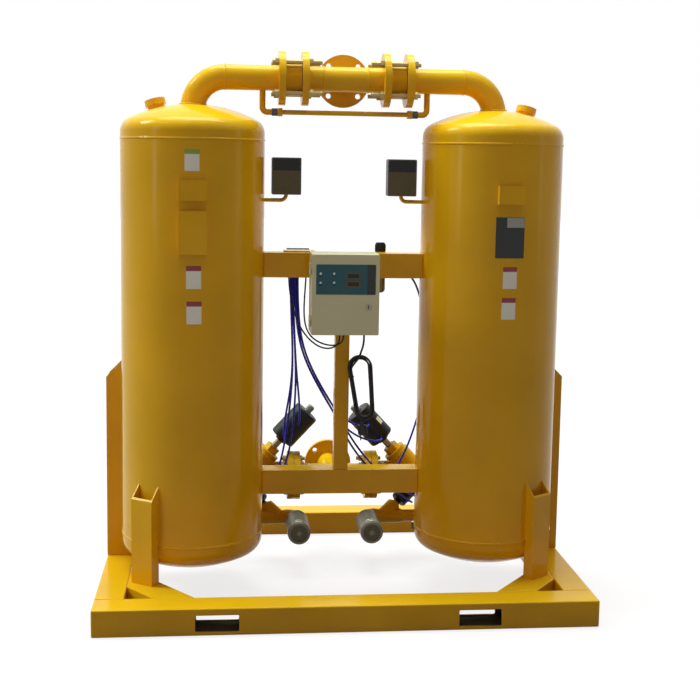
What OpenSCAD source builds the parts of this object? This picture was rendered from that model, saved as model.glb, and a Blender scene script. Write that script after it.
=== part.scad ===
// Twin-tower desiccant air dryer on a fork-lift skid.
// Millimetres, +Z up, origin on the floor at the middle of the skid, front towards -Y.

/* [Skid] */
// Length of the skid along the row of towers
skid_w = 1720; // [1660:10:1900]
// Depth of the skid from front to back
skid_d = 1230; // [1180:10:1400]
// Height of the skid beams
beam_h = 94; // [84:1:104]
// Width of the front, rear and corner beams
beam_w = 112; // [100:1:130]
// Width of the side beams
side_beam_w = 100; // [80:1:120]
// Wall of the skid tubes
beam_wall = 6; // [4:0.5:8]
// Width of one fork pocket
fork_w = 146; // [110:1:180]
// Height of one fork pocket
fork_h = 56; // [45:1:60]
// Distance between the fork pocket centres
fork_pitch = 890; // [700:10:1000]
// Height of the fork pocket floor above the ground
fork_floor = 14; // [10:1:18]
// Leg of the open corner triangle along the front beam
corner_leg = 94; // [70:1:130]
// Angle between a corner brace and the front beam
brace_angle = 52; // [46:1:58]

/* [Towers] */
// Outer diameter of each tower
tower_od = 508; // [480:2:520]
// Wall of the tower shell and heads
tower_wall = 8; // [6:0.5:12]
// Distance of a tower's wall from the end of the skid
tower_inset = 66; // [60:1:80]
// Distance of the tower axes in front of the skid's middle
tower_forward = 131; // [110:1:150]
// Height of the lower head seam above the ground
seam_z = 226; // [220:1:240]
// Length of the shell between the two head seams
shell_h = 1417; // [1380:1:1500]
// Straight flange of a dished head
head_skirt = 25; // [15:1:40]
// Knuckle radius of a dished head
knuckle_r = 51; // [45:1:60]
// Radius of a weld bead
bead_r = 5; // [3:0.5:7]
// Distance of the fill port from the tower axis
fill_offset = 142; // [120:1:150]
// Direction of the fill port from the outward side towards the back
fill_angle = 25; // [0:1:45]
// Outer diameter of the fill port's neck
fill_od = 60; // [52:1:66]
// Height of the fill port's neck above the head
fill_h = 15; // [10:1:25]
// Wall of the fill port's neck
fill_wall = 8; // [6:0.5:10]
// Outer diameter of the fill port's cap
fill_cap_od = 74; // [68:1:80]
// Height of the fill port's cap
fill_cap_h = 22; // [16:1:28]
// Height of the desiccant support grid above the lower seam
grid_rise = 210; // [200:1:260]
// Free height between the desiccant bed and the upper seam
bed_free = 77; // [60:1:150]

/* [Tower posts] */
// Width of a post's web
post_web = 90; // [70:1:110]
// Sheet of a post
post_wall = 6; // [4:0.5:8]
// Distance of a front post's web from the tower wall
post_reach = 36; // [25:1:60]
// Angle of a front post from the outward side towards the front
post_angle = 54; // [48:1:60]
// Height of a front post's web above the ground
front_post_top = 395; // [330:1:450]
// Height of a side post's web above the ground
side_post_top = 772; // [600:1:900]
// Distance of a side post behind the tower axis
side_post_back = 148; // [110:1:150]
// Slope of a front post's cut top
front_post_slope = 49; // [40:1:55]
// Slope of a side post's cut top
side_post_slope = 45; // [40:1:55]

/* [Outlet manifold] */
// Outer diameter of the main pipe
pipe_od = 88.9; // [80:0.1:95]
// Wall of the main pipe
pipe_wall = 5.5; // [4:0.5:7]
// Centre-line radius of the outlet elbows
elbow_r = 114; // [105:1:125]
// Height of the manifold axis above the top of the heads
manifold_rise = 97; // [90:1:105]
// Outer diameter of the flanges
flange_od = 190; // [180:1:200]
// Thickness of the flanges
flange_t = 24; // [18:1:28]
// Bolt circle of the flanges
bolt_circle = 152; // [148:1:158]
// Bolt hole of the flanges
bolt_hole = 19; // [18:0.5:21]
// Diameter of the flange studs
stud_d = 16; // [12:1:16]
// Width across the flats of the stud nuts
nut_af = 24; // [22:1:27]
// Height of the stud nuts
nut_h = 14; // [10:1:18]
// Free end of a stud past its nut
stud_free = 10; // [4:1:16]
// Extra length of the check valve studs towards the middle
stud_extra = 22; // [10:1:30]
// Thickness of a flange gasket
gasket_t = 2; // [1:0.5:3]
// Half length of the outlet tee over its flanges
tee_half = 157; // [150:1:170]
// Step of a tee's branch below its run, on the radius
branch_step = 1; // [0.5:0.1:2]
// Distance of the outlet flange behind the manifold axis
outlet_reach = 113; // [105:1:150]
// Length of a check valve body between its gaskets
check_w = 54; // [50:1:60]
// Outer diameter of a check valve body
check_od = 124; // [118:1:130]
// Seat opening of a check valve
check_seat_d = 60; // [50:1:64]
// Travel of a check valve disc
check_lift = 12; // [8:1:14]

/* [Purge line] */
// Distance of a purge riser from the middle
purge_x = 295; // [285:1:310]
// Depth of the purge line below the manifold axis
purge_drop = 119; // [112:1:130]
// Outer diameter of the purge risers
riser_od = 21.3; // [20:0.1:28]
// Outer diameter of the purge tube
purge_od = 17.2; // [14:0.1:20]
// Wall of the purge line
purge_wall = 2.5; // [2:0.1:3]
// Centre-line radius of the purge elbows
purge_elbow_r = 17; // [15:1:26]
// Straight end of a purge elbow
purge_leg = 16; // [8:1:24]
// Length of a purge union
union_l = 20; // [16:1:30]
// Outer diameter of a purge union
union_od = 27; // [24:1:34]

/* [Pressure gauges] */
// Width of a gauge case
gauge_w = 105; // [80:1:120]
// Height of a gauge case
gauge_h = 132; // [100:1:150]
// Depth of a gauge case
gauge_d = 56; // [40:1:70]
// Distance of a gauge's middle from the tower wall
gauge_out = 78; // [70:1:100]
// Height of a gauge case above the ground
gauge_z = 1451; // [1300:1:1500]
// Outer diameter of a gauge arm
gauge_arm_od = 13.7; // [10:0.1:18]
// Wall of a gauge arm
gauge_arm_wall = 2.5; // [2:0.1:3]
// Thickness of a gauge's front window
window_t = 4; // [2:0.5:6]

/* [Tie frame] */
// Height of a tie beam
tie_h = 90; // [80:1:100]
// Depth of a tie beam
tie_d = 80; // [70:1:90]
// Height of the upper tie beam's underside
upper_tie_z = 1157; // [1140:1:1200]
// Height of the lower tie beam's underside
lower_tie_z = 360; // [350:1:380]
// Wall of the tie tubes
tie_wall = 5; // [3:0.5:8]
// Width of the centre post
stand_w = 52; // [40:1:60]
// Depth of the centre post
stand_d = 60; // [50:1:70]

/* [Control panel] */
// Width of the control panel
panel_w = 236; // [220:1:260]
// Height of the control panel
panel_h = 282; // [270:1:300]
// Depth of the control panel with its door
panel_d = 160; // [140:1:180]
// Middle of the control panel, to the left of the centre post
panel_left = 6; // [0:1:12]
// Height of the control panel's top above the upper tie beam's underside
panel_up = 96; // [85:1:110]
// Sheet of the control panel
panel_sheet = 2; // [1.5:0.5:3]
// Depth of the door's folded edge
door_t = 14; // [10:1:18]
// Width of the lip round the panel's mouth
panel_lip = 14; // [10:1:18]
// Radius of the door hinge knuckles
knuckle_hinge_r = 5; // [4:0.5:6]
// Distance of the hinges from the panel's top and bottom
hinge_inset = 50; // [40:1:70]
// Distance of the keypad overlay from the panel's sides
overlay_side = 14; // [12:1:28]
// Height of the keypad overlay
overlay_h = 105; // [90:1:120]
// Distance of the keypad overlay below the panel's top
overlay_drop = 34; // [25:1:45]
// Diameter of the lock barrel
lock_d = 16; // [12:1:20]
// Distance of the lock from the panel's right edge
lock_inset = 38; // [34:1:45]
// Distance of the lock below the panel's top
lock_drop = 183; // [165:1:200]

/* [Pilot air] */
// Middle of the pilot valve bank, inwards from the left tower's axis
pilot_in = 382; // [375:1:390]
// Length of the pilot valve bank
pilot_w = 84; // [76:1:90]
// Depth of the pilot valve bank
pilot_d = 60; // [56:1:70]
// Height of the pilot valve bank
pilot_h = 80; // [70:1:84]
// Distance of the pilot valve bank behind the upper tie beam
pilot_back = 26; // [20:1:30]
// Distance of the filter regulator from the centre
reg_x = 146; // [140:1:160]
// Distance of the filter regulator behind the upper tie beam
reg_back = 38; // [34:1:50]
// Diameter of the filter regulator's body
reg_d = 46; // [40:1:50]
// Diameter of the filter regulator's knob
knob_d = 38; // [30:1:42]

/* [Inlet manifold] */
// Distance of the inlet manifold behind the tower axes
inlet_back = 350; // [345:1:360]
// Height of the inlet manifold's axis above the ground
inlet_z = 332; // [325:1:345]
// Half length of the inlet tee over its flanges, as a share of the tower axis distance from the middle
inlet_half_share = 0.2815; // [0.275:0.0005:0.29]
// Distance of the inlet flange behind the inlet manifold axis
inlet_reach = 220; // [190:1:240]
// Centre-line radius of the inlet elbows
inlet_elbow_r = 76; // [70:1:82]
// Distance of an inlet valve from the middle, as a share of the same
inlet_valve_share = 0.6296; // [0.625:0.0001:0.635]
// Lean of an inlet valve's bonnet above the pipe
inlet_lean = 47; // [44:1:50]

/* [Exhaust] */
// Distance of an exhaust drop pipe from the start of its inlet elbow
exhaust_drop_in = 24; // [20:1:30]
// Height of the exhaust line's axis above the ground
exhaust_z = 160; // [150:1:166]
// Outer diameter of the exhaust pipe
exhaust_od = 48.3; // [42:0.1:54]
// Wall of the exhaust pipe
exhaust_wall = 3.6; // [2:0.1:5]
// Distance of an exhaust valve from the middle
exhaust_valve_x = 212; // [205:1:225]
// Lean of an exhaust valve's bonnet above the pipe
exhaust_lean = 45; // [40:1:50]
// Turn of the exhaust valves about their pipe towards the back
exhaust_turn = 35; // [25:1:45]
// Turn of the exhaust actuators' ports about the stem
exhaust_port_turn = 45; // [35:1:55]
// Distance of a silencer's rear end in front of the exhaust line
silencer_gap = 50; // [46:1:60]
// Distance of a silencer from the middle
silencer_x = 140; // [135:1:142]
// Outer diameter of a silencer
silencer_od = 87; // [70:1:95]
// Length of a silencer
silencer_l = 182; // [140:1:220]

/* [Valve fits] */
// Running clearance of a stem or pin in its hole
run_fit = 0.08; // [0.05:0.01:0.1]
// Clearance between pieces that seat without touching
seat_fit = 0.3; // [0.2:0.05:0.5]

/* [Cords] */
// Outer diameter of the air tubes
tube_d = 8; // [6:1:8]
// Outer diameter of the valve cables
cable_d = 6; // [4:1:6]
// Outer diameter of the power cord
power_d = 8; // [6:1:8]

/* [Hidden] */
$fn = 64;
eps = 1;

// Paint and material colours
enamel = "#f2b705";
beige = "#b5ae94";
steel = "#a9a79f";
bronze = "#a68a4f";
black = "#1c1c1e";
teal = "#27566a";
air_blue = "#2a2aa8";
navy = "#23263f";
grey = "#4a4a4c";
olive = "#8a7a2a";
cream = "#e8e4da";
smoke = "#8d8f92";
sinter = "#7d756a";
board_green = "#2c4a3a";

// Places worked out from the driving dimensions
tower_r = tower_od / 2;
axis_x = skid_w / 2 - tower_inset - tower_r;
tower_y = -tower_forward;
wall_x = axis_x - tower_r;
crown_r = tower_od;
dish_h = crown_r - sqrt(pow(crown_r - knuckle_r, 2) - pow(tower_r - knuckle_r, 2));
top_seam_z = seam_z + shell_h;
apex_z = top_seam_z + head_skirt + dish_h;
manifold_z = apex_z + manifold_rise;
pipe_r = pipe_od / 2;
bore_r = pipe_r - pipe_wall;
outer_flange_x = tee_half + check_w + 2 * gasket_t;
purge_z = manifold_z - purge_drop;
union_x = purge_x - purge_elbow_r - purge_leg - union_l;
tie_front = tower_y - tie_d / 2;
tie_back = tower_y + tie_d / 2;
upper_tie_top = upper_tie_z + tie_h;
lower_tie_top = lower_tie_z + tie_h;
panel_x = -panel_left;
panel_top = upper_tie_z + panel_up;
panel_z = panel_top - panel_h;
panel_front = tie_front - panel_d;
door_back = panel_front + door_t;
mouth_y = door_back + seat_fit;
hinge_gap = 0.5;
hinge_x = panel_x - panel_w / 2 - knuckle_hinge_r - hinge_gap;
lock_x = panel_x + panel_w / 2 - lock_inset;
lock_z = panel_top - lock_drop;
overlay_w = panel_w - 2 * overlay_side;
overlay_z = panel_top - overlay_drop - overlay_h;
gauge_x = wall_x - gauge_out;
inlet_y = tower_y + inlet_back;
inlet_half = inlet_half_share * axis_x;
inlet_valve_x = inlet_valve_share * axis_x;
inlet_body_end = axis_x - inlet_elbow_r;
exhaust_drop_x = inlet_body_end - exhaust_drop_in;
exhaust_bore_r = exhaust_od / 2 - exhaust_wall;
grid_z = seam_z + grid_rise;
grid_t = 10;
bed_h = shell_h - grid_rise - bed_free;
bed_r = tower_r - tower_wall - seat_fit;
reg_y = tie_back + reg_back;
pilot_x = pilot_in - axis_x;
pilot_y = tie_back + pilot_back;
pilot_z = upper_tie_top - pilot_h;

// Valve sizes: [run radius, bore radius, branch radius, branch length, chamber radius, seat radius,
//   plug radius, stem radius, bonnet height, actuator radius, actuator length, lift]
INLET = [54, 39, 51, 118, 41, 33, 38, 7, 86, 52, 148, 20];
EXHAUST = [28, 20, 30, 65, 22, 16, 20, 5, 25, 33, 84, 12];
function run_r(v) = v[0];
function run_bore(v) = v[1];
function branch_r(v) = v[2];
function branch_l(v) = v[3];
function chamber_r(v) = v[4];
function seat_r(v) = v[5];
function plug_r(v) = v[6];
function stem_r(v) = v[7];
function bonnet_h(v) = v[8];
function act_r(v) = v[9];
function act_l(v) = v[10];
function lift(v) = v[11];
function act_start(v) = branch_l(v) + bonnet_h(v);
function act_end(v) = act_start(v) + act_l(v);
web_t = 8;
act_wall = 6;
piston_t = 14;
piston_rise = 16;
cap_r = 15;
cap_h = 30;
cap_wall = 3;
rod_r = 5;
port_d = 14;
port_l = 14;
port_edge = 10;
upper_port_share = 0.62;
foot_share = 0.42;
foot_h = 10;
neck_share = 0.26;
function port_places(v) = [act_start(v) + act_wall + port_edge, act_start(v) + upper_port_share * act_l(v)];

// Points turned about an axis
function turn_x(p, a) = [p[0], p[1] * cos(a) - p[2] * sin(a), p[1] * sin(a) + p[2] * cos(a)];
function turn_y(p, a) = [p[0] * cos(a) + p[2] * sin(a), p[1], p[2] * cos(a) - p[0] * sin(a)];
function turn_z(p, a) = [p[0] * cos(a) - p[1] * sin(a), p[0] * sin(a) + p[1] * cos(a), p[2]];

// Outer end of an actuator's port, first about its valve and then on the right or left of the row
function port_tip(v, lean, turn, k) =
  turn_y(turn_z([0, -act_r(v) - port_l, 0], turn) + [0, 0, port_places(v)[k]], 90 - lean);
function inlet_port(side, k) =
  let (p = port_tip(INLET, inlet_lean, 0, k))
  [side * (inlet_valve_x - p[0]), inlet_y + p[1], inlet_z + p[2]];
function exhaust_port(side, k) =
  let (p = turn_x(port_tip(EXHAUST, exhaust_lean, exhaust_port_turn, k), -exhaust_turn))
  [side * (exhaust_valve_x + p[0]), inlet_y + p[1], exhaust_z + p[2]];

// Air tap on the right inlet valve
tap_in = 64;
tap_front = 32;
tap_up = 24;
tap_end = [inlet_half + gasket_t + flange_t + tap_in, inlet_y - run_r(INLET) - tap_front, inlet_z + tap_up];

// Lower end of the fitting of an air tube under the pilot valves, by its row and place
fitting_l = 21;
fitting_row = 20;
fitting_pitch = 8.5;
function pilot_fitting(row, k) =
  [pilot_x - k * fitting_pitch, pilot_y + row * fitting_row, pilot_z - fitting_l];

// Route whose ends are drawn over to where they are held
function drawn_to(route, end, start = undef) =
  let (last = len(route) - 1, gap = end - route[last], lead = is_undef(start) ? [0, 0, 0] : start - route[0])
  [for (i = [0 : last]) route[i] + gap * pow(i / last, 2) + lead * pow(1 - i / last, 2)];

// Cord routes: points along the middle of each cord
TUBE_1 = [[-183.5, -45, 1146], [-183.5, -45, 1080], [-178, -38, 980], [-173, -14, 880], [-170, 26, 790],
  [-176, 66, 700], [-186, 94, 630], [-196, 110, 570], [-198, 118, 525], [-194, 130, 500], [-190, 153, 493]];
TUBE_2 = [[-175, -45, 1146], [-175, -45, 1080], [-169.5, -38, 980], [-164, -14, 880], [-156, 26, 790],
  [-146, 66, 710], [-139, 94, 650], [-136, 112, 605], [-137, 122, 575], [-138, 134, 555], [-138, 153, 548]];
TUBE_3 = [[-183.5, -25, 1146], [-183.5, -25, 1080], [-178, -22, 980], [-172.5, 3, 880], [-168, 44, 780],
  [-172, 84, 680], [-180, 104, 580], [-194, 112, 480], [-210, 114, 400], [-236, 122, 330], [-276, 140, 272],
  [-316, 162, 232], [-330, 187, 221], [-311, 221, 221]];
TUBE_4 = [[-175, -25, 1146], [-175, -25, 1080], [-169.5, -22, 980], [-163.5, 3, 880], [-156, 44, 780],
  [-155, 84, 680], [-160, 104, 580], [-170, 110, 480], [-187, 108, 400], [-222, 112, 340], [-276, 126, 292],
  [-330, 152, 256], [-356, 200, 243], [-336, 236, 242]];
TUBE_5 = [[-166.5, -45, 1146], [-166.5, -45, 1080], [-160, -34, 985], [-146, -18, 874], [-96, 20, 768],
  [-42, 55, 672], [-7, 76, 613], [26, 90, 564], [66, 98, 526], [116, 108, 500], [160, 119, 488],
  [186, 134, 489], [190, 153, 493]];
TUBE_6 = [[-158, -45, 1146], [-158, -45, 1080], [-151.5, -34, 986], [-138, -18, 878], [-88.5, 20, 772.5],
  [-34.5, 55, 676.5], [2, 77, 619], [44, 94, 578], [84, 108, 556], [118, 120, 545], [136, 136, 546],
  [138, 153, 548]];
TUBE_7 = [[-166.5, -25, 1146], [-166.5, -25, 1080], [-161, -25, 988], [-147, -9, 877], [-97, 29, 771],
  [-43, 64, 675], [-8, 85.5, 615], [20, 100, 560], [50, 108, 500], [88, 112, 442], [128, 114, 394],
  [176, 116, 346], [226, 124, 302], [276, 140, 262], [316, 164, 230], [330, 187, 221], [311, 221, 221]];
TUBE_8 = [[-158, -25, 1146], [-158, -25, 1080], [-152.5, -25, 989], [-139, -9, 881], [-89.5, 29, 775.5],
  [-35.5, 64, 679.5], [1, 86, 622], [32, 101, 563], [65, 108, 505], [104, 110, 450], [146, 110, 400],
  [196, 112, 352], [246, 120, 310], [296, 136, 276], [336, 160, 252], [356, 200, 243], [336, 236, 242]];
AIR_TUBES = [
  drawn_to(TUBE_1, inlet_port(-1, 0), pilot_fitting(1, 3)),
  drawn_to(TUBE_2, inlet_port(-1, 1), pilot_fitting(1, 2)),
  drawn_to(TUBE_3, exhaust_port(-1, 0), pilot_fitting(2, 3)),
  drawn_to(TUBE_4, exhaust_port(-1, 1), pilot_fitting(2, 2)),
  drawn_to(TUBE_5, inlet_port(1, 0), pilot_fitting(1, 1)),
  drawn_to(TUBE_6, inlet_port(1, 1), pilot_fitting(1, 0)),
  drawn_to(TUBE_7, exhaust_port(1, 0), pilot_fitting(2, 1)),
  drawn_to(TUBE_8, exhaust_port(1, 1), pilot_fitting(2, 0))
];
SUPPLY = [[183, -53, 1185], [214, -53, 1179], [248, -49, 1166], [274, -38, 1146], [300, 0, 1098],
  [330, 60, 1020], [352, 120, 920], [362, 160, 800], [356, 172, 680], [341, 164, 600], [322, 152, 546],
  [293, 148, 454], [264, 141, 404], [246, 134, 374], [242, 133, 356]];
CABLE_1 = [[-192, -58, 1167], [-192, -62, 1120], [-184, -90, 1060], [-166, -140, 998], [-140, -180, 950],
  [-102, -208, 918], [-70, -222, 906], [-40, -228, 909], [-22, -230, 923], [-16, -230, 942],
  [-16, -230, 952], [-16, -230, 959]];
CABLE_2 = [[-128, -58, 1167], [-130, -62, 1120], [-136, -80, 1060], [-138, -110, 1010], [-134, -145, 972],
  [-118, -188, 944], [-90, -224, 930], [-58, -241, 921], [-28, -246, 922], [-10, -246, 932],
  [-4, -246, 946], [-4, -246, 953], [-4, -246, 959]];
POWER = [[70, -241.5, 959], [70, -241.5, 940], [67, -241.5, 918], [61, -241.5, 900], [55, -241.5, 880]];

// Hank of the power cord, hung on the end of the cord
hank_w = 90;
hank_h = 240;
hank_d = 26;
hank_top = [54, -224, 884.5];
hank_tilt = -7;

function unit(v) = v / norm(v);
function curve_at(a, b, c, d, t) =
  0.5 * (2 * b + (c - a) * t + (2 * a - 5 * b + 4 * c - d) * t * t + (3 * b - a - 3 * c + d) * t * t * t);
function smooth_route(p, n) = concat(
  [for (i = [0 : len(p) - 2], k = [0 : n - 1])
    curve_at(p[max(i - 1, 0)], p[i], p[i + 1], p[min(i + 2, len(p) - 1)], k / n)],
  [p[len(p) - 1]]);
function heading(p, i) = unit(p[min(i + 1, len(p) - 1)] - p[max(i - 1, 0)]);
function ring(centre, dir, aside, r, sides) =
  let (u = unit(cross(dir, aside)), v = cross(dir, u))
  [for (k = [0 : sides - 1]) centre + r * (cos(360 * k / sides) * u + sin(360 * k / sides) * v)];

// Round cord along a route, swept ring by ring
module cord(route, d, aside = [1, 0, 0], steps = 2, sides = 8) {
  p = smooth_route(route, steps);
  n = len(p);
  points = [for (i = [0 : n - 1]) each ring(p[i], heading(p, i), aside, d / 2, sides)];
  sheath = [for (i = [0 : n - 2], k = [0 : sides - 1])
    let (next = (k + 1) % sides)
    [i * sides + k, i * sides + next, (i + 1) * sides + next, (i + 1) * sides + k]];
  first = [for (k = [sides - 1 : -1 : 0]) k];
  last = [for (k = [0 : sides - 1]) (n - 1) * sides + k];
  polyhedron(points, concat([first], sheath, [last]), convexity = 6);
}

module both_sides() {
  children();
  mirror([1, 0, 0]) children();
}

// Cylinder along X from x0 to x1
module rod_x(x0, x1, r) translate([x0, 0, 0]) rotate([0, 90, 0]) cylinder(r = r, h = x1 - x0);

// Cylinder along Y from y0 to y1
module rod_y(y0, y1, r) translate([0, y0, 0]) rotate([-90, 0, 0]) cylinder(r = r, h = y1 - y0);

module hexagon(af, h) cylinder(d = af / cos(30), h = h, $fn = 6);

// Plate with round corners in the XZ plane, its back at y = 0 and its front at -t
module rounded_plate(w, h, t, r) {
  rotate([90, 0, 0]) linear_extrude(t) rounded_outline(w, h, r);
}

module rounded_outline(w, h, r) {
  square([w - 2 * r, h], center = true);
  square([w, h - 2 * r], center = true);
  for (x = [-1, 1], y = [-1, 1]) translate([x * (w / 2 - r), y * (h / 2 - r)]) circle(r);
}

// Half section of a turned piece with round edges, from z = 0 to h
module turned_outline(r, h, edge) {
  square([r - edge, h]);
  translate([0, edge]) square([r, h - 2 * edge]);
  intersection() {
    for (z = [edge, h - edge]) translate([r - edge, z]) circle(edge);
    square([r, h]);
  }
}

// Skid

module skid_tube(l, w) {
  difference() {
    cube([l, w, beam_h]);
    translate([-eps, beam_wall, beam_wall]) cube([l + 2 * eps, w - 2 * beam_wall, beam_h - 2 * beam_wall]);
  }
}

module end_beam() {
  difference() {
    translate([-skid_w / 2, -skid_d / 2, 0]) skid_tube(skid_w, beam_w);
    both_sides() translate([fork_pitch / 2 - fork_w / 2, -skid_d / 2 - eps, fork_floor])
      cube([fork_w, beam_w + 2 * eps, fork_h]);
  }
  both_sides() translate([skid_w / 2 - beam_wall, -skid_d / 2 + beam_wall, beam_wall])
    cube([beam_wall, beam_w - 2 * beam_wall, beam_h - 2 * beam_wall]);
}

module end_beams() {
  color(enamel) {
    end_beam();
    mirror([0, 1, 0]) end_beam();
  }
}

module side_beams() {
  color(enamel) both_sides()
    translate([skid_w / 2, -skid_d / 2 + beam_w, 0]) rotate([0, 0, 90])
      skid_tube(skid_d - 2 * beam_w, side_beam_w);
}

// Tube across a front corner, its ends cut to the front and side beams
module corner_brace() {
  inner_x = skid_w / 2 - side_beam_w;
  inner_y = -skid_d / 2 + beam_w;
  long = skid_w;
  intersection() {
    translate([inner_x - corner_leg, inner_y, 0]) rotate([0, 0, brace_angle])
      translate([-long / 2, 0, 0]) skid_tube(long, beam_w);
    translate([0, inner_y, 0]) cube([inner_x, skid_d, beam_h]);
  }
}

module corner_braces() {
  color(enamel) both_sides() corner_brace();
}

// Channel along Z with its web's outer face at x = reach and its flanges towards the axis
module channel(reach, depth, h) {
  difference() {
    translate([reach - depth, -post_web / 2, 0]) cube([depth, post_web, h]);
    translate([reach - depth - eps, -post_web / 2 + post_wall, -eps])
      cube([depth - post_wall + eps, post_web - 2 * post_wall, h + 2 * eps]);
  }
}

// Post cut to the tower wall, its top cut on the slant from the web up to the tower
module tower_post(reach, depth, web_top, slant) {
  run = web_top + depth * tan(slant) - beam_h;
  difference() {
    translate([0, 0, beam_h]) channel(reach, depth, run);
    translate([reach, 0, web_top]) rotate([0, slant, 0]) translate([-2 * depth, -post_web, 0])
      cube([4 * depth, 2 * post_web, 2 * run]);
  }
}

// Right tower's outer cylinder, to cut what is welded to it
module tower_column() translate([axis_x, tower_y, 0]) cylinder(r = tower_r, h = apex_z, $fn = 128);

// Notch that clears the weld bead of the lower seam
module seam_notch() {
  half = bead_r + seat_fit;
  translate([axis_x, tower_y, seam_z - half]) cylinder(r = tower_r + half, h = 2 * half, $fn = 128);
}

module tower_posts() {
  front_depth = tower_r + post_reach - sqrt(pow(tower_r, 2) - pow(post_web / 2, 2)) + post_wall;
  side_reach = skid_w / 2 - axis_x;
  rear_edge = side_post_back + post_web / 2;
  side_depth = side_reach - sqrt(pow(tower_r, 2) - pow(rear_edge, 2)) + post_wall;
  color(enamel) both_sides() difference() {
    translate([axis_x, tower_y, 0]) {
      rotate([0, 0, -post_angle])
        tower_post(tower_r + post_reach, front_depth, front_post_top, front_post_slope);
      translate([0, side_post_back, 0]) tower_post(side_reach, side_depth, side_post_top, side_post_slope);
    }
    tower_column();
    seam_notch();
  }
}

// Towers

// Half section of one dished head, standing on z = 0
module head_section(inset) {
  centre_z = dish_h - crown_r;
  meet_x = (tower_r - knuckle_r) * (crown_r - inset) / (crown_r - knuckle_r);
  intersection() {
    translate([0, centre_z]) circle(crown_r - inset, $fn = 256);
    square([meet_x, crown_r]);
  }
  intersection() {
    translate([tower_r - knuckle_r, 0]) circle(knuckle_r - inset);
    square([tower_r, crown_r]);
  }
}

module vessel_section(inset) {
  low = seam_z - head_skirt;
  high = top_seam_z + head_skirt;
  translate([0, low]) square([tower_r - inset, high - low]);
  translate([0, high]) head_section(inset);
  translate([0, low]) mirror([0, 1]) head_section(inset);
}

module vessel(inset) rotate_extrude($fn = 128) vessel_section(inset);

// Fill port axis, square to the dished head
module at_fill_port() {
  tilt = asin(fill_offset / crown_r);
  rotate([0, 0, fill_angle]) translate([0, 0, apex_z - crown_r]) rotate([0, tilt, 0])
    translate([0, 0, crown_r]) children();
}

fill_bore = fill_od - 2 * fill_wall;

// Folded plates that stand off the tower fronts, each as [height of its middle, width, height]
LEFT_BRACKETS = [[1469, 95, 70], [1327, 95, 148]];
RIGHT_BRACKETS = [[1468, 94, 65]];
left_bracket_turn = 1.5;
right_bracket_turn = 4;

module name_bracket(z, w, h) {
  stand = 16;
  sheet = 3;
  weld_in = 1;
  translate([0, -tower_r - stand, z]) difference() {
    translate([-w / 2, 0, -h / 2]) cube([w, stand + tower_r / 4, h]);
    translate([-w / 2 + sheet, sheet, -h / 2 - eps]) cube([w - 2 * sheet, tower_r, h + 2 * eps]);
    translate([0, stand + tower_r, -h]) cylinder(r = tower_r - weld_in, h = 2 * h, $fn = 128);
  }
}

// One welded tower with its fill port, bed ledge and holes, standing on its own axis
module tower() {
  ledge = 14;
  difference() {
    union() {
      vessel(0);
      for (z = [seam_z, top_seam_z]) translate([0, 0, z]) rotate_extrude($fn = 128)
        translate([tower_r - bead_r / 2, 0]) circle(bead_r, $fn = 24);
      at_fill_port() translate([0, 0, -tower_wall]) cylinder(d = fill_od, h = tower_wall + fill_h);
    }
    difference() {
      vessel(tower_wall);
      translate([0, 0, grid_z - ledge]) difference() {
        cylinder(r = tower_r, h = ledge);
        translate([0, 0, -eps]) cylinder(r = tower_r - tower_wall - ledge, h = ledge + 2 * eps);
      }
    }
    at_fill_port() translate([0, 0, -2 * tower_wall]) cylinder(d = fill_bore, h = fill_h + 3 * tower_wall);
    translate([0, 0, apex_z - 3 * tower_wall]) cylinder(r = bore_r, h = 4 * tower_wall);
    translate([0, 0, inlet_z]) rod_y(tower_r - 3 * tower_wall, tower_r + tower_wall, bore_r);
  }
}

module tower_right() {
  color(enamel) translate([axis_x, tower_y, 0]) {
    tower();
    rotate([0, 0, right_bracket_turn]) for (b = RIGHT_BRACKETS) name_bracket(b[0], b[1], b[2]);
  }
}

module tower_left() {
  color(enamel) translate([-axis_x, tower_y, 0]) {
    mirror([1, 0, 0]) tower();
    rotate([0, 0, left_bracket_turn]) for (b = LEFT_BRACKETS) name_bracket(b[0], b[1], b[2]);
  }
}

// Screwed cap with a rim round its top and a plug in the neck
module fill_plugs() {
  rim = 7;
  rim_h = 4;
  color(enamel) both_sides() translate([axis_x, tower_y, 0]) at_fill_port() {
    translate([0, 0, -tower_wall]) cylinder(d = fill_bore - 2 * seat_fit, h = fill_h + tower_wall);
    translate([0, 0, fill_h]) difference() {
      cylinder(d = fill_cap_od, h = fill_cap_h);
      translate([0, 0, fill_cap_h - rim_h]) cylinder(d = fill_cap_od - 2 * rim, h = rim_h + eps);
    }
  }
}

module desiccant_beds() {
  color(cream) both_sides() translate([axis_x, tower_y, grid_z + grid_t]) cylinder(r = bed_r, h = bed_h);
}

// Perforated plate
module bed_screen() {
  pitch = 90;
  hole_r = 28;
  rows = floor((bed_r - hole_r) / pitch);
  difference() {
    cylinder(r = bed_r, h = grid_t);
    for (i = [-rows : rows], j = [-rows : rows])
      if (norm([i, j]) * pitch < bed_r - hole_r - grid_t)
        translate([i * pitch, j * pitch, -eps]) cylinder(r = hole_r, h = grid_t + 2 * eps, $fn = 24);
  }
}

module bed_screens() {
  color(steel) both_sides() translate([axis_x, tower_y, grid_z]) {
    bed_screen();
    translate([0, 0, grid_t + bed_h]) bed_screen();
  }
}

// Flanged pipework

module bolt_places() {
  for (a = [45 : 90 : 315]) rotate([0, 0, a]) translate([bolt_circle / 2, 0, 0]) children();
}

module flange_holes() bolt_places() translate([0, 0, -flange_t]) cylinder(d = bolt_hole, h = 3 * flange_t);

// Quarter bend from +X round to +Z
module bend_up(r, tube_r) rotate([90, 0, 0]) rotate_extrude(angle = 90) translate([r, 0]) circle(tube_r);

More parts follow.
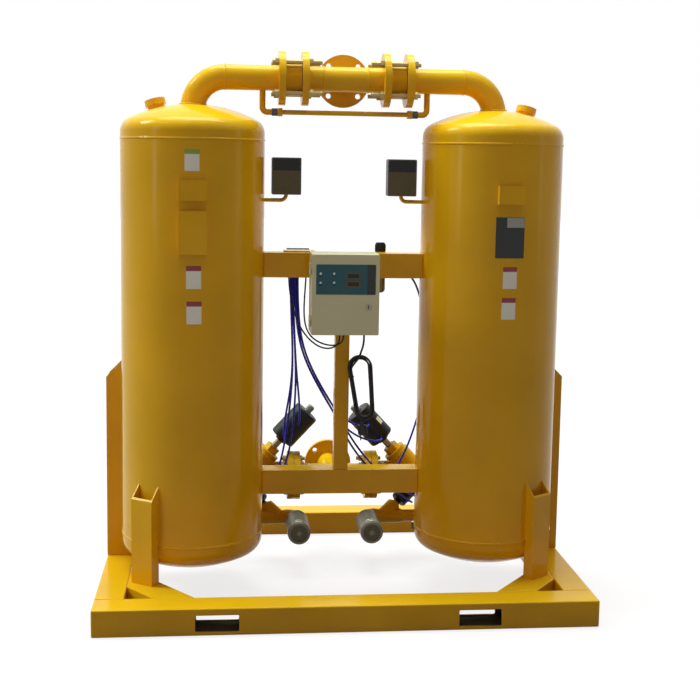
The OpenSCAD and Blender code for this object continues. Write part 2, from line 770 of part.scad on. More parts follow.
// Quarter bend from +X round to +Y
module bend_back(r, tube_r) rotate_extrude(angle = 90) translate([r, 0]) circle(tube_r);

module spool_run(r, x1) {
  translate([axis_x - elbow_r, 0, manifold_z - elbow_r]) bend_up(elbow_r, r);
  translate([0, 0, manifold_z]) rod_x(x1, axis_x - elbow_r, r);
}

module purge_riser_run(r) {
  translate([purge_x, 0, purge_z + purge_elbow_r])
    cylinder(r = r, h = manifold_z - purge_z - purge_elbow_r);
  translate([purge_x - purge_elbow_r, 0, purge_z + purge_elbow_r])
    mirror([0, 0, 1]) bend_up(purge_elbow_r, r);
  translate([0, 0, purge_z]) rod_x(union_x + union_l, purge_x - purge_elbow_r, r);
}

// Outlet elbow, pipe, flange and purge riser, welded as one piece
module outlet_spool() {
  difference() {
    union() {
      spool_run(pipe_r, outer_flange_x);
      purge_riser_run(riser_od / 2);
      translate([outer_flange_x, 0, manifold_z]) rotate([0, 90, 0]) cylinder(d = flange_od, h = flange_t);
    }
    spool_run(bore_r, outer_flange_x - eps);
    purge_riser_run(riser_od / 2 - purge_wall);
    translate([outer_flange_x, 0, manifold_z]) rotate([0, 90, 0]) flange_holes();
    translate([axis_x, 0, 0]) vessel(0);
  }
}

module outlet_spools() {
  color(enamel) translate([0, tower_y, 0]) both_sides() outlet_spool();
}

// Tee with a flange at each end and one at the end of its branch
module flanged_tee(half, reach) {
  difference() {
    union() {
      rod_x(-half, half, pipe_r);
      rod_y(0, reach, pipe_r - branch_step);
      both_sides() rod_x(half - flange_t, half, flange_od / 2);
      rod_y(reach - flange_t, reach, flange_od / 2);
    }
    rod_x(-half - eps, half + eps, bore_r);
    rod_y(0, reach + eps, bore_r - branch_step);
    both_sides() translate([half - flange_t, 0, 0]) rotate([0, 90, 0]) flange_holes();
    translate([0, reach - flange_t, 0]) rotate([-90, 0, 0]) flange_holes();
  }
}

module outlet_tee() {
  color(enamel) translate([0, tower_y, manifold_z]) flanged_tee(tee_half, outlet_reach);
}

module inlet_tee() {
  color(enamel) translate([0, inlet_y, inlet_z]) flanged_tee(inlet_half, inlet_reach);
}

// Check valves: the disc lifts off its seat towards the outlet tee
check_disc_t = 8;
check_seat_t = 10;
check_guide_r = 6;
check_x = tee_half + gasket_t;

module check_valve_body() {
  guide_l = 12;
  rib = 6;
  difference() {
    rod_x(0, check_w, check_od / 2);
    rod_x(-eps, check_w - check_seat_t, bore_r);
    rod_x(-eps, check_w + eps, check_seat_d / 2);
  }
  difference() {
    union() {
      rod_x(0, guide_l, 2 * check_guide_r);
      for (a = [0 : 120 : 240]) rotate([a, 0, 0])
        translate([0, -rib / 2, 0]) cube([guide_l, rib, bore_r + pipe_wall]);
    }
    rod_x(-eps, guide_l + eps, check_guide_r + run_fit);
  }
}

module check_disc() {
  face = check_w - check_seat_t - seat_fit;
  disc_gap = 3;
  stem_start = 2;
  rod_x(face - check_disc_t, face, bore_r - disc_gap);
  rod_x(stem_start, face, check_guide_r);
}

module check_valve_bodies() {
  color(enamel) both_sides() translate([check_x, tower_y, manifold_z]) check_valve_body();
}

module check_disc_right() {
  color(steel) translate([check_x, tower_y, manifold_z]) check_disc();
}

module check_disc_left() {
  color(steel) mirror([1, 0, 0]) translate([check_x, tower_y, manifold_z]) check_disc();
}

// Stud with a nut on each side of a grip that starts at z = 0
module stud_bolt(grip, free_low, free_high) {
  translate([0, 0, -nut_h - free_low]) cylinder(d = stud_d, h = grip + 2 * nut_h + free_low + free_high);
  translate([0, 0, -nut_h]) hexagon(nut_af, nut_h);
  translate([0, 0, grip]) hexagon(nut_af, nut_h);
}

module flange_bolts() {
  color(bronze) both_sides() {
    translate([tee_half - flange_t, tower_y, manifold_z]) rotate([0, 90, 0]) bolt_places()
      stud_bolt(check_w + 2 * gasket_t + 2 * flange_t, stud_free + stud_extra, stud_free);
    translate([inlet_half - flange_t, inlet_y, inlet_z]) rotate([0, 90, 0]) bolt_places()
      stud_bolt(gasket_t + 2 * flange_t, stud_free, stud_free);
  }
}

module gasket() {
  difference() {
    rod_x(0, gasket_t, check_od / 2);
    rod_x(-eps, gasket_t + eps, bore_r);
  }
}

module flange_gaskets() {
  color(black) both_sides() {
    for (x = [tee_half, tee_half + gasket_t + check_w]) translate([x, tower_y, manifold_z]) gasket();
    translate([inlet_half, inlet_y, inlet_z]) gasket();
  }
}

// Purge line
reducer_l = 18;
reducer_step = 8;

module purge_unions() {
  color(black) both_sides() translate([union_x, tower_y, purge_z]) difference() {
    rod_x(0, union_l, union_od / 2);
    rod_x(-eps, union_l + eps, purge_od / 2 - purge_wall);
  }
}

module purge_tube() {
  color(enamel) translate([0, tower_y, purge_z]) difference() {
    union() {
      rod_x(-union_x, union_x, purge_od / 2);
      both_sides() translate([union_x - reducer_l, 0, 0]) rotate([0, 90, 0])
        hexagon(purge_od + reducer_step, reducer_l);
    }
    rod_x(-union_x - eps, union_x + eps, purge_od / 2 - purge_wall);
  }
}

// Pressure gauges
gauge_elbow_r = 20;
gauge_arm_drop = 18;
gauge_bottom_z = gauge_z - gauge_arm_drop;

module gauge_arm_run(r) {
  translate([gauge_x + gauge_elbow_r, 0, gauge_bottom_z]) rod_x(0, axis_x - gauge_x - gauge_elbow_r, r);
  translate([gauge_x + gauge_elbow_r, 0, gauge_bottom_z + gauge_elbow_r]) mirror([1, 0, 0]) mirror([0, 0, 1])
    bend_up(gauge_elbow_r, r);
}

module gauge_arms() {
  color(enamel) both_sides() difference() {
    translate([0, tower_y, 0]) gauge_arm_run(gauge_arm_od / 2);
    translate([0, tower_y, 0]) gauge_arm_run(gauge_arm_od / 2 - gauge_arm_wall);
    tower_column();
  }
}

gauge_case_z = gauge_bottom_z + gauge_elbow_r;
gauge_front = tower_y - gauge_d / 2;
gauge_rim = 4;
gauge_corner = 5;
window_corner = 3;

module gauge_cases() {
  color(steel) both_sides() translate([gauge_x, gauge_front, gauge_case_z + gauge_h / 2]) difference() {
    translate([0, gauge_d, 0]) rounded_plate(gauge_w, gauge_h, gauge_d, gauge_corner);
    translate([0, window_t, 0])
      rounded_plate(gauge_w - 2 * gauge_rim, gauge_h - 2 * gauge_rim, window_t + eps, window_corner);
  }
}

module gauge_windows() {
  gap = gauge_rim + seat_fit;
  color(black) both_sides() translate([gauge_x, gauge_front + window_t, gauge_case_z + gauge_h / 2])
    rounded_plate(gauge_w - 2 * gap, gauge_h - 2 * gap, window_t, window_corner);
}

// Tie frame between the towers

module tie_tube(z) {
  translate([-axis_x, tie_front, z]) difference() {
    cube([2 * axis_x, tie_d, tie_h]);
    translate([-eps, tie_wall, tie_wall])
      cube([2 * axis_x + 2 * eps, tie_d - 2 * tie_wall, tie_h - 2 * tie_wall]);
  }
}

module cross_beams() {
  color(enamel) difference() {
    for (z = [lower_tie_z, upper_tie_z]) tie_tube(z);
    both_sides() tower_column();
  }
}

module centre_post() {
  h = upper_tie_z - lower_tie_top;
  color(enamel) translate([-stand_w / 2, tie_front, lower_tie_top]) difference() {
    cube([stand_w, stand_d, h]);
    translate([tie_wall, tie_wall, -eps]) cube([stand_w - 2 * tie_wall, stand_d - 2 * tie_wall, h + 2 * eps]);
  }
}

// Control panel
hinge_l = 40;
hinge_zs = [panel_z + hinge_inset, panel_top - hinge_inset];
pin_r = 2.5;
door_corner = 4;
knuckle_l = hinge_l / 2 - seat_fit;

module hinge_leaf(z, l) {
  translate([hinge_x, door_back, z]) {
    cylinder(r = knuckle_hinge_r, h = l, $fn = 32);
    cube([hinge_gap + knuckle_hinge_r, 2 * knuckle_hinge_r, l]);
  }
}

// Open-fronted box with a lip round its mouth, lower hinge knuckles and their pins
module panel_box() {
  depth = tie_front - mouth_y;
  color(beige) {
    difference() {
      union() {
        translate([panel_x - panel_w / 2, mouth_y, panel_z]) cube([panel_w, depth, panel_h]);
        for (z = hinge_zs) hinge_leaf(z - hinge_l / 2, knuckle_l);
      }
      translate([panel_x - panel_w / 2 + panel_sheet, mouth_y + panel_sheet, panel_z + panel_sheet])
        cube([panel_w - 2 * panel_sheet, depth - 2 * panel_sheet, panel_h - 2 * panel_sheet]);
      translate([panel_x - panel_w / 2 + panel_lip, mouth_y - eps, panel_z + panel_lip])
        cube([panel_w - 2 * panel_lip, depth / 2, panel_h - 2 * panel_lip]);
    }
    for (z = hinge_zs) translate([hinge_x, door_back, z - hinge_l / 2])
      cylinder(r = pin_r, h = hinge_l, $fn = 32);
  }
}

// Folded door pan with the upper hinge knuckles
module panel_door() {
  color(beige) difference() {
    union() {
      translate([panel_x, door_back, panel_z + panel_h / 2])
        rounded_plate(panel_w, panel_h, door_t, door_corner);
      for (z = hinge_zs) translate([hinge_x, door_back, z]) {
        cylinder(r = knuckle_hinge_r, h = knuckle_l, $fn = 32);
        translate([0, -knuckle_hinge_r, 0]) cube([2 * knuckle_hinge_r, knuckle_hinge_r, knuckle_l]);
      }
    }
    translate([panel_x - panel_w / 2 + 2 * knuckle_hinge_r, panel_front + panel_sheet, panel_z + panel_sheet])
      cube([panel_w - panel_sheet - 2 * knuckle_hinge_r, door_t, panel_h - 2 * panel_sheet]);
    for (z = hinge_zs) translate([hinge_x, door_back, z - hinge_l])
      cylinder(r = pin_r + run_fit, h = 2 * hinge_l);
    translate([lock_x, 0, lock_z])
      rod_y(panel_front - eps, panel_front + 2 * panel_sheet, lock_d / 2 + run_fit);
  }
}

overlay_t = 1;
overlay_corner = 3;

module door_overlay() {
  color(teal) translate([panel_x, panel_front, overlay_z + overlay_h / 2])
    rounded_plate(overlay_w, overlay_h, overlay_t, overlay_corner);
}

// Quarter-turn cam lock, its cam hanging clear of the mouth's lip
module panel_lock() {
  rim_t = 3;
  rim_step = 3;
  cam_t = 3;
  cam_gap = 2;
  cam_y = mouth_y + 2 * panel_sheet;
  color(steel) translate([lock_x, 0, lock_z]) {
    rod_y(panel_front - rim_t, panel_front - seat_fit, lock_d / 2 + rim_step);
    rod_y(panel_front - seat_fit, cam_y + cam_t, lock_d / 2);
    translate([-lock_d / 2, cam_y, -lock_inset + panel_sheet + cam_gap]) cube([lock_d, cam_t, lock_inset]);
  }
}

// Controller behind the keypad, carried by the door
module controller_unit() {
  case_d = 24;
  case_in = 5;
  stud_l = 8;
  stud_in = 16;
  stud_r = 4;
  color(board_green) translate([panel_x, panel_front + panel_sheet, overlay_z + overlay_h / 2]) {
    for (x = [-1, 1], z = [-1, 1])
      translate([x * (overlay_w / 2 - stud_in), 0, z * (overlay_h / 2 - stud_in)]) rod_y(0, stud_l, stud_r);
    translate([0, stud_l + case_d, 0])
      rounded_plate(overlay_w - 2 * case_in, overlay_h - 2 * case_in, case_d, door_corner);
  }
}

// Cord glands under the panel
gland_l = 12;

module cable_glands() {
  gland_d = 14;
  nut_step = 4;
  places = [CABLE_1[len(CABLE_1) - 1], CABLE_2[len(CABLE_2) - 1], POWER[0]];
  color(black) for (p = places) translate([p[0], p[1], panel_z - gland_l]) {
    cylinder(d = gland_d, h = gland_l / 2);
    translate([0, 0, gland_l / 2]) hexagon(gland_d + nut_step, gland_l / 2);
  }
}

// Pilot valves behind the upper tie beam, hung under a plate on its top
bracket_t = 4;
bracket_hold = 16;

module valve_bracket() {
  overhang = 15;
  w = pilot_w + 2 * overhang;
  d = pilot_y + bracket_hold - tower_y;
  color(enamel) translate([pilot_x - w / 2, tower_y, upper_tie_top]) cube([w, d, bracket_t]);
}

// Manifold block, a row of valves whose coils stand above the plate, and a fitting for each tube
module pilot_valves() {
  n = 4;
  slice = pilot_w / n;
  gap = 2;
  coil_rise = 6;
  coil_d = pilot_d - bracket_hold - gap;
  fitting_step = 0.4;
  color(navy) translate([pilot_x - pilot_w / 2, pilot_y, pilot_z]) {
    cube([pilot_w, pilot_d, pilot_h / 2]);
    for (i = [0 : n - 1]) translate([i * slice + gap / 2, 0, pilot_h / 2]) {
      cube([slice - gap, pilot_d, pilot_h / 2]);
      translate([0, pilot_d - coil_d, 0]) cube([slice - gap, coil_d, pilot_h / 2 + coil_rise]);
    }
  }
  color(navy) for (route = AIR_TUBES)
    translate(route[0]) cylinder(d = tube_d + fitting_step, h = fitting_l, $fn = 24);
}

// Filter regulator on an angle behind the upper tie beam
reg_up = 42;
reg_mid = upper_tie_z + reg_up;
reg_half = 22;
reg_port_drop = 14;

module regulator_body() {
  strap_t = 6;
  strap_w = 30;
  port_r = 7.5;
  neck_step = 8;
  recess = 20;
  recess_wall = 7;
  port_end = SUPPLY[0][0] - reg_x;
  color(grey) translate([reg_x, reg_y, reg_mid]) difference() {
    union() {
      translate([0, 0, -reg_half]) cylinder(d = reg_d, h = 2 * reg_half);
      translate([0, 0, reg_half]) cylinder(d = knob_d - neck_step, h = reg_half);
      translate([0, 0, -reg_port_drop]) rod_x(-port_end, port_end, port_r);
      translate([-strap_w / 2, -reg_back, strap_t]) cube([strap_w, reg_back, strap_t]);
    }
    translate([0, 0, -reg_half - eps]) cylinder(d = reg_d - 2 * recess_wall, h = recess);
  }
}

module regulator_bowl() {
  step = 3;
  r = reg_d / 2 - step;
  h = 84;
  edge = 14;
  wall = 4;
  color(olive) translate([reg_x, reg_y, reg_mid - reg_half - h]) rotate_extrude() difference() {
    intersection() {
      turned_outline(r, 2 * h, edge);
      square([r, h]);
    }
    translate([0, wall]) turned_outline(r - wall, 2 * h, edge - wall);
  }
}

module regulator_knob() {
  h = 36;
  rim = 4;
  rib_r = 1.5;
  color(black) translate([reg_x, reg_y, reg_mid + 2 * reg_half + seat_fit]) {
    cylinder(d = knob_d, h = h - rim);
    translate([0, 0, h - rim]) cylinder(d = knob_d - 4 * rib_r, h = rim);
    for (a = [0 : 30 : 330]) rotate([0, 0, a]) translate([knob_d / 2, 0, rim])
      cylinder(r = rib_r, h = h - 3 * rim, $fn = 16);
  }
}

// Angle-seat valves: the stem axis leans out of the pipe and crosses its axis at the origin

module along_stem(lean) rotate([0, 90 - lean, 0]) children();

module valve_body(v, lean, back, front) {
  difference() {
    union() {
      rod_x(-back, front, run_r(v));
      along_stem(lean) cylinder(r = branch_r(v), h = branch_l(v));
    }
    difference() {
      union() {
        rod_x(-back - eps, front + eps, run_bore(v));
        along_stem(lean) cylinder(r = chamber_r(v), h = branch_l(v) + eps);
      }
      along_stem(lean) translate([0, 0, -web_t]) cylinder(r = 3 * chamber_r(v), h = web_t);
    }
    along_stem(lean) translate([0, 0, -2 * web_t]) cylinder(r = seat_r(v), h = 3 * web_t);
  }
}

// Bonnet with its spigot in the body, a hexagon and a neck up to the actuator
module bonnet(v) {
  plate = bonnet_h(v) * 0.2;
  hex = bonnet_h(v) * 0.3;
  spigot = 12;
  rim = 6;
  translate([0, 0, branch_l(v)]) difference() {
    union() {
      translate([0, 0, -spigot]) cylinder(r = chamber_r(v) - seat_fit, h = spigot);
      cylinder(r = branch_r(v) - rim, h = plate);
      translate([0, 0, plate]) hexagon(branch_r(v), hex);
      cylinder(r = branch_r(v) * neck_share, h = bonnet_h(v) - foot_h);
    }
    translate([0, 0, -spigot - eps]) cylinder(r = stem_r(v) + run_fit, h = bonnet_h(v) + spigot + 2 * eps);
  }
}

// Air cylinder on a foot, with one port below its piston and one above
module actuator(v, port_turn) {
  edge = 7;
  air_r = 2.5;
  difference() {
    union() {
      translate([0, 0, act_start(v)]) rotate_extrude() turned_outline(act_r(v), act_l(v), edge);
      translate([0, 0, act_start(v) - foot_h]) cylinder(r = act_r(v) * foot_share, h = foot_h + eps);
      for (z = port_places(v)) translate([0, 0, z]) rotate([0, 0, port_turn])
        rod_y(-act_r(v) - port_l, 0, port_d / 2);
    }
    translate([0, 0, act_start(v) + act_wall]) cylinder(r = act_r(v) - act_wall, h = act_l(v) - 2 * act_wall);
    translate([0, 0, act_start(v) - foot_h - eps])
      cylinder(r = stem_r(v) + run_fit, h = foot_h + act_wall + 2 * eps);
    translate([0, 0, act_end(v) - act_wall - eps]) cylinder(r = rod_r + run_fit, h = act_wall + 2 * eps);
    for (z = port_places(v)) translate([0, 0, z]) rotate([0, 0, port_turn])
      rod_y(-act_r(v) - port_l / 2, 0, air_r);
  }
}

// Clear dome over the indicator rod
module indicator_cap(v) {
  dome = 8;
  lip = 3;
  lip_h = 4;
  translate([0, 0, act_end(v)]) rotate_extrude() difference() {
    union() {
      turned_outline(cap_r, cap_h, dome);
      square([cap_r + lip, lip_h]);
    }
    square([cap_r - cap_wall, cap_h - cap_wall]);
  }
}

// Plug, stem, piston and indicator rod in one, with the plug on its seat
module valve_stem(v) {
  plug_t = 10;
  rod_out = 3;
  piston_z = act_start(v) + act_wall + piston_rise;
  translate([0, 0, seat_fit]) cylinder(r = plug_r(v), h = plug_t);
  translate([0, 0, seat_fit]) cylinder(r = stem_r(v), h = piston_z);
  translate([0, 0, piston_z]) cylinder(r = act_r(v) - act_wall - run_fit, h = piston_t);
  translate([0, 0, piston_z]) cylinder(r = rod_r, h = act_end(v) + rod_out - piston_z);
}

module at_inlet_valve() translate([inlet_valve_x, inlet_y, inlet_z]) mirror([1, 0, 0]) children();

module at_exhaust_valve() {
  translate([exhaust_valve_x, inlet_y, exhaust_z]) rotate([-exhaust_turn, 0, 0]) children();
}

module on_every_stem() {
  both_sides() {
    at_inlet_valve() along_stem(inlet_lean) children(0);
    at_exhaust_valve() along_stem(exhaust_lean) children(1);
  }
}

drop_gap = 6;
inlet_stub = exhaust_drop_in + exhaust_od / 2 + drop_gap;

module inlet_valve_bodies() {
  front = inlet_valve_x - inlet_half - gasket_t;
  back = inlet_body_end - inlet_valve_x - inlet_stub;
  color(enamel) both_sides() at_inlet_valve() difference() {
    union() {
      valve_body(INLET, inlet_lean, back, front - flange_t);
      difference() {
        rod_x(front - flange_t, front, flange_od / 2);
        rod_x(front - flange_t - eps, front + eps, run_bore(INLET));
      }
    }
    translate([front - flange_t, 0, 0]) rotate([0, 90, 0]) flange_holes();
  }
  tap_h = 36;
  tap_d = 14;
  tap_weld = 2;
  arm_step = 1;
  color(enamel) translate([tap_end[0], tap_end[1], tap_end[2] - tap_h]) {
    cylinder(d = tap_d, h = tap_h);
    translate([0, 0, tap_h - tap_up]) rod_y(0, tap_front + tap_weld, tap_d / 2 - arm_step);
  }
}

// Run from the tower nozzle round the elbow to the inlet valve
module inlet_run(r) {
  translate([axis_x, tower_y, inlet_z]) rod_y(tower_r - 4 * tower_wall, inlet_back - inlet_elbow_r, r);
  translate([axis_x - inlet_elbow_r, inlet_y - inlet_elbow_r, inlet_z]) bend_back(inlet_elbow_r, r);
  translate([0, inlet_y, inlet_z]) rod_x(inlet_body_end - inlet_stub, inlet_body_end, r);
}

exhaust_elbow_r = 57;
exhaust_body_in = 30;
exhaust_body_out = 70;
exhaust_pipe_end = exhaust_valve_x + exhaust_body_out;

// Drop from the inlet run to the exhaust valve
module exhaust_run(r) {
  translate([exhaust_drop_x, inlet_y, exhaust_z + exhaust_elbow_r])
    cylinder(r = r, h = inlet_z - exhaust_z - exhaust_elbow_r);
  translate([exhaust_drop_x - exhaust_elbow_r, inlet_y, exhaust_z + exhaust_elbow_r])
    mirror([0, 0, 1]) bend_up(exhaust_elbow_r, r);
  translate([0, inlet_y, exhaust_z]) rod_x(exhaust_pipe_end, exhaust_drop_x - exhaust_elbow_r, r);
}

module inlet_spools() {
  color(enamel) both_sides() difference() {
    union() {
      inlet_run(pipe_r);
      exhaust_run(exhaust_od / 2);
    }
    inlet_run(bore_r);
    exhaust_run(exhaust_bore_r);
    tower_column();
  }
}

// Exhaust valve with its outlet bend towards the front
silencer_back = inlet_y - silencer_gap;

module exhaust_outlet(r) {
  bend = exhaust_valve_x - silencer_x - exhaust_body_in;
  translate([silencer_x + bend, inlet_y - bend, exhaust_z]) mirror([1, 0, 0]) bend_back(bend, r);
  translate([silencer_x, 0, exhaust_z]) rod_y(silencer_back, inlet_y - bend, r);
}

module exhaust_valve_bodies() {
  outlet_r = 30;
  color(enamel) both_sides() {
    at_exhaust_valve() valve_body(EXHAUST, exhaust_lean, exhaust_body_in, exhaust_body_out);
    difference() {
      exhaust_outlet(outlet_r);
      exhaust_outlet(run_bore(EXHAUST));
    }
  }
}

module valve_bonnets() {
  color(bronze) on_every_stem() {
    bonnet(INLET);
    bonnet(EXHAUST);
  }
}

module actuator_housings() {
  color(black) on_every_stem() {
    actuator(INLET, 0);
    actuator(EXHAUST, exhaust_port_turn);
  }
}

module indicator_caps() {
  color(smoke) on_every_stem() {
    indicator_cap(INLET);
    indicator_cap(EXHAUST);
  }
}

module inlet_stem_right() {
  color(steel) at_inlet_valve() along_stem(inlet_lean) valve_stem(INLET);
}

module inlet_stem_left() {
  color(steel) mirror([1, 0, 0]) at_inlet_valve() along_stem(inlet_lean) valve_stem(INLET);
}

module exhaust_stem_right() {
  color(steel) at_exhaust_valve() along_stem(exhaust_lean) valve_stem(EXHAUST);
}

module exhaust_stem_left() {
  color(steel) mirror([1, 0, 0]) at_exhaust_valve() along_stem(exhaust_lean) valve_stem(EXHAUST);
}

// Silencer with grooves between its end caps and a button in its dished front
module silencer() {
  edge = 6;
  groove = 4;
  rings = [28, silencer_l - 40, silencer_l - 22];
  dish = 3;
  dish_rim = 10;
  button_r = 10;
  rotate([90, 0, 0]) rotate_extrude() difference() {
    turned_outline(silencer_od / 2, silencer_l, edge);
    for (z = rings) translate([silencer_od / 2 - groove / 2, z]) square([groove, groove]);
    translate([button_r, silencer_l - dish]) square([silencer_od / 2 - dish_rim - button_r, 2 * dish]);
  }
}

module silencers() {
  color(sinter) both_sides() translate([silencer_x, silencer_back, exhaust_z]) silencer();
}

// Cords

module air_tube(i) color(air_blue) cord(AIR_TUBES[i], tube_d);

module air_tube_1() air_tube(0);
module air_tube_2() air_tube(1);
module air_tube_3() air_tube(2);
module air_tube_4() air_tube(3);
module air_tube_5() air_tube(4);
module air_tube_6() air_tube(5);
module air_tube_7() air_tube(6);
module air_tube_8() air_tube(7);
module supply_tube() color(air_blue) cord(drawn_to(SUPPLY, tap_end), tube_d, [0, 0.6, 0.8]);
module valve_cable_1() color(black) cord(CABLE_1, cable_d, [0.6, 0.8, 0]);
module valve_cable_2() color(black) cord(CABLE_2, cable_d, [0.6, 0.8, 0]);
module power_cord() color(black) cord(POWER, power_d);

module hank_outline(w, h) {
  r = w / 2;
  translate([0, -h / 2 + r]) circle(r);
  translate([0, h / 2 - r]) circle(r);
  square([w, h - 2 * r], center = true);
}

module cord_hank() {
  color(black) translate(hank_top) rotate([0, hank_tilt, 0]) translate([0, hank_d / 2, -hank_h / 2])
    rotate([90, 0, 0]) linear_extrude(hank_d) hank_outline(hank_w, hank_h);
}

// Two-pin plug that hangs from the lower end of the hank's front turn, pins down
module power_plug() {
  body_r = 17;
  body_l = 36;
  edge = 6;
  relief = 16;
  pin_d = 4.8;
  pin_l = 19;
  pin_pitch = 19;
  aside = 16;
  ahead = 8;
  r = hank_w / 2;
  inner = aside - power_d / 2;
  hang_z = r - hank_h - sqrt(r * r - inner * inner) - seat_fit;
  color(black) translate(hank_top) rotate([0, hank_tilt, 0])
    translate([-aside, -ahead, hang_z - relief - body_l]) {
      rotate_extrude() turned_outline(body_r, body_l, edge);
      translate([0, 0, body_l - eps]) cylinder(r1 = body_r / 2, r2 = power_d / 2, h = relief + eps);
      for (x = [-1, 1]) translate([x * pin_pitch / 2, 0, -pin_l])
        cylinder(d = pin_d, h = pin_l + eps, $fn = 24);
    }
}

end_beams();
side_beams();
corner_braces();
tower_posts();
tower_left();
tower_right();
fill_plugs();
desiccant_beds();
bed_screens();
outlet_spools();
outlet_tee();
check_valve_bodies();
check_disc_left();
check_disc_right();
flange_bolts();
flange_gaskets();
purge_unions();
purge_tube();
gauge_arms();
gauge_cases();
gauge_windows();
cross_beams();
centre_post();
panel_box();
panel_door();
door_overlay();
panel_lock();
controller_unit();
cable_glands();
valve_bracket();
pilot_valves();
regulator_body();
regulator_bowl();
regulator_knob();
inlet_tee();
inlet_spools();
inlet_valve_bodies();
exhaust_valve_bodies();
valve_bonnets();
actuator_housings();
indicator_caps();
inlet_stem_left();
inlet_stem_right();
exhaust_stem_left();
exhaust_stem_right();
silencers();
air_tube_1();
air_tube_2();
air_tube_3();
air_tube_4();
air_tube_5();
air_tube_6();
air_tube_7();
air_tube_8();
supply_tube();
valve_cable_1();
valve_cable_2();
power_cord();
cord_hank();
power_plug();
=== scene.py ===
"""Looks of a twin-tower desiccant air dryer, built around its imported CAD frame. Metres, +Z up."""

import math

import bmesh
import bpy
from mathutils import Matrix, Vector


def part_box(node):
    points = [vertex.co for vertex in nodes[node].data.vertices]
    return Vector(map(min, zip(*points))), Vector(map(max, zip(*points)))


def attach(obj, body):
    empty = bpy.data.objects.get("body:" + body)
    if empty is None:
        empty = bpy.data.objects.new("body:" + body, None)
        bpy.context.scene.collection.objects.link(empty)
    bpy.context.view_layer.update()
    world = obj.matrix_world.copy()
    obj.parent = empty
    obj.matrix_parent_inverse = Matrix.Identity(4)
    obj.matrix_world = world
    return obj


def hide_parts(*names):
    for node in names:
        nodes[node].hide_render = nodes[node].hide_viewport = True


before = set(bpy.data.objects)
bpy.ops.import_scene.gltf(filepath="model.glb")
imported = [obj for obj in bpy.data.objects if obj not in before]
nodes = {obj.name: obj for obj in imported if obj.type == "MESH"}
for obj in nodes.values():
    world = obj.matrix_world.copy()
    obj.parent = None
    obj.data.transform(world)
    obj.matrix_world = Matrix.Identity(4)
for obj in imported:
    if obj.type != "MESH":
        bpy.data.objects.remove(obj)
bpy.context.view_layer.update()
scene = bpy.context.scene

# Sizes, places and the inlet valves' direction, as the solids have them, in metres
TOWER_X = 0.540
TOWER_Y = -0.131
TOWER_R = 0.254
MANIFOLD_Z = 1.8636
PIPE_R = 0.04445
INLET_Y = 0.219
INLET_Z = 0.332
VALVE_X = 0.340
STEM = Vector((-0.682, 0, 0.7314))
BONNET_NUT_END = 0.1605
BEAM_D = 0.112
WALL = 0.003


# Camera

CAMERA_PLACE = Vector((-0.4121, -4.5934, 1.5690))
CAMERA_YAW = 0.105
CAMERA_PITCH = 0.123
CAMERA_ROLL = 0.017
CAMERA_SHIFT = (-0.0111, -0.0485)
SENSOR_W = 36
LENS = 63.58


def look(position, yaw, pitch, roll):
    """Camera matrix for a view turned right by yaw, down by pitch and then rolled, in radians."""
    ahead = Vector((math.sin(yaw), math.cos(yaw), 0))
    right = Vector((math.cos(yaw), -math.sin(yaw), 0))
    up = Vector((0, 0, 1))
    view = math.cos(pitch) * ahead - math.sin(pitch) * up
    top = math.sin(pitch) * ahead + math.cos(pitch) * up
    side = math.cos(roll) * right + math.sin(roll) * top
    top = -math.sin(roll) * right + math.cos(roll) * top
    turn = Matrix((side, top, -view)).transposed().to_4x4()
    return Matrix.Translation(position) @ turn


camera = bpy.data.objects.new("camera", bpy.data.cameras.new("camera"))
scene.collection.objects.link(camera)
camera.matrix_world = look(CAMERA_PLACE, CAMERA_YAW, CAMERA_PITCH, CAMERA_ROLL)
camera.data.sensor_width = SENSOR_W
camera.data.lens = LENS
camera.data.shift_x, camera.data.shift_y = CAMERA_SHIFT
scene.camera = camera
scene.view_settings.view_transform = "Standard"


# Materials

TONE_SCALE = 3.0
PATCH_SCALE = 9.0
GRAIN_STRENGTH = 0.25


def material(name, color, rough=0.5, metal=0.0, spec=0.5):
    """A principled material, its tree and its shader."""
    mat = bpy.data.materials.new(name)
    mat.use_nodes = True
    shader = mat.node_tree.nodes["Principled BSDF"]
    shader.inputs["Base Color"].default_value = (*color, 1)
    shader.inputs["Roughness"].default_value = rough
    shader.inputs["Metallic"].default_value = metal
    shader.inputs["Specular IOR Level"].default_value = spec
    return mat, mat.node_tree, shader


def noise(tree, scale, detail=3.0):
    """Noise over the object's own space."""
    place = tree.nodes.new("ShaderNodeTexCoord")
    tex = tree.nodes.new("ShaderNodeTexNoise")
    tex.inputs["Scale"].default_value = scale
    tex.inputs["Detail"].default_value = detail
    tree.links.new(place.outputs["Object"], tex.inputs["Vector"])
    return tex.outputs["Fac"]


def ramp(tree, value, stops):
    """Colours along a value, as (place, colour) pairs."""
    node = tree.nodes.new("ShaderNodeValToRGB")
    points = node.color_ramp.elements
    while len(points) < len(stops):
        points.new(0.5)
    for point, (at, color) in zip(points, stops):
        point.position = at
        point.color = (*color, 1)
    tree.links.new(value, node.inputs["Fac"])
    return node.outputs["Color"]


def bump(tree, shader, height, strength, distance):
    """Fine relief on a shader's normal."""
    node = tree.nodes.new("ShaderNodeBump")
    node.inputs["Strength"].default_value = strength
    node.inputs["Distance"].default_value = distance
    tree.links.new(height, node.inputs["Height"])
    tree.links.new(node.outputs["Normal"], shader.inputs["Normal"])


def shade(color, factor):
    """A darker or lighter tone of a colour."""
    return tuple(c * factor for c in color)


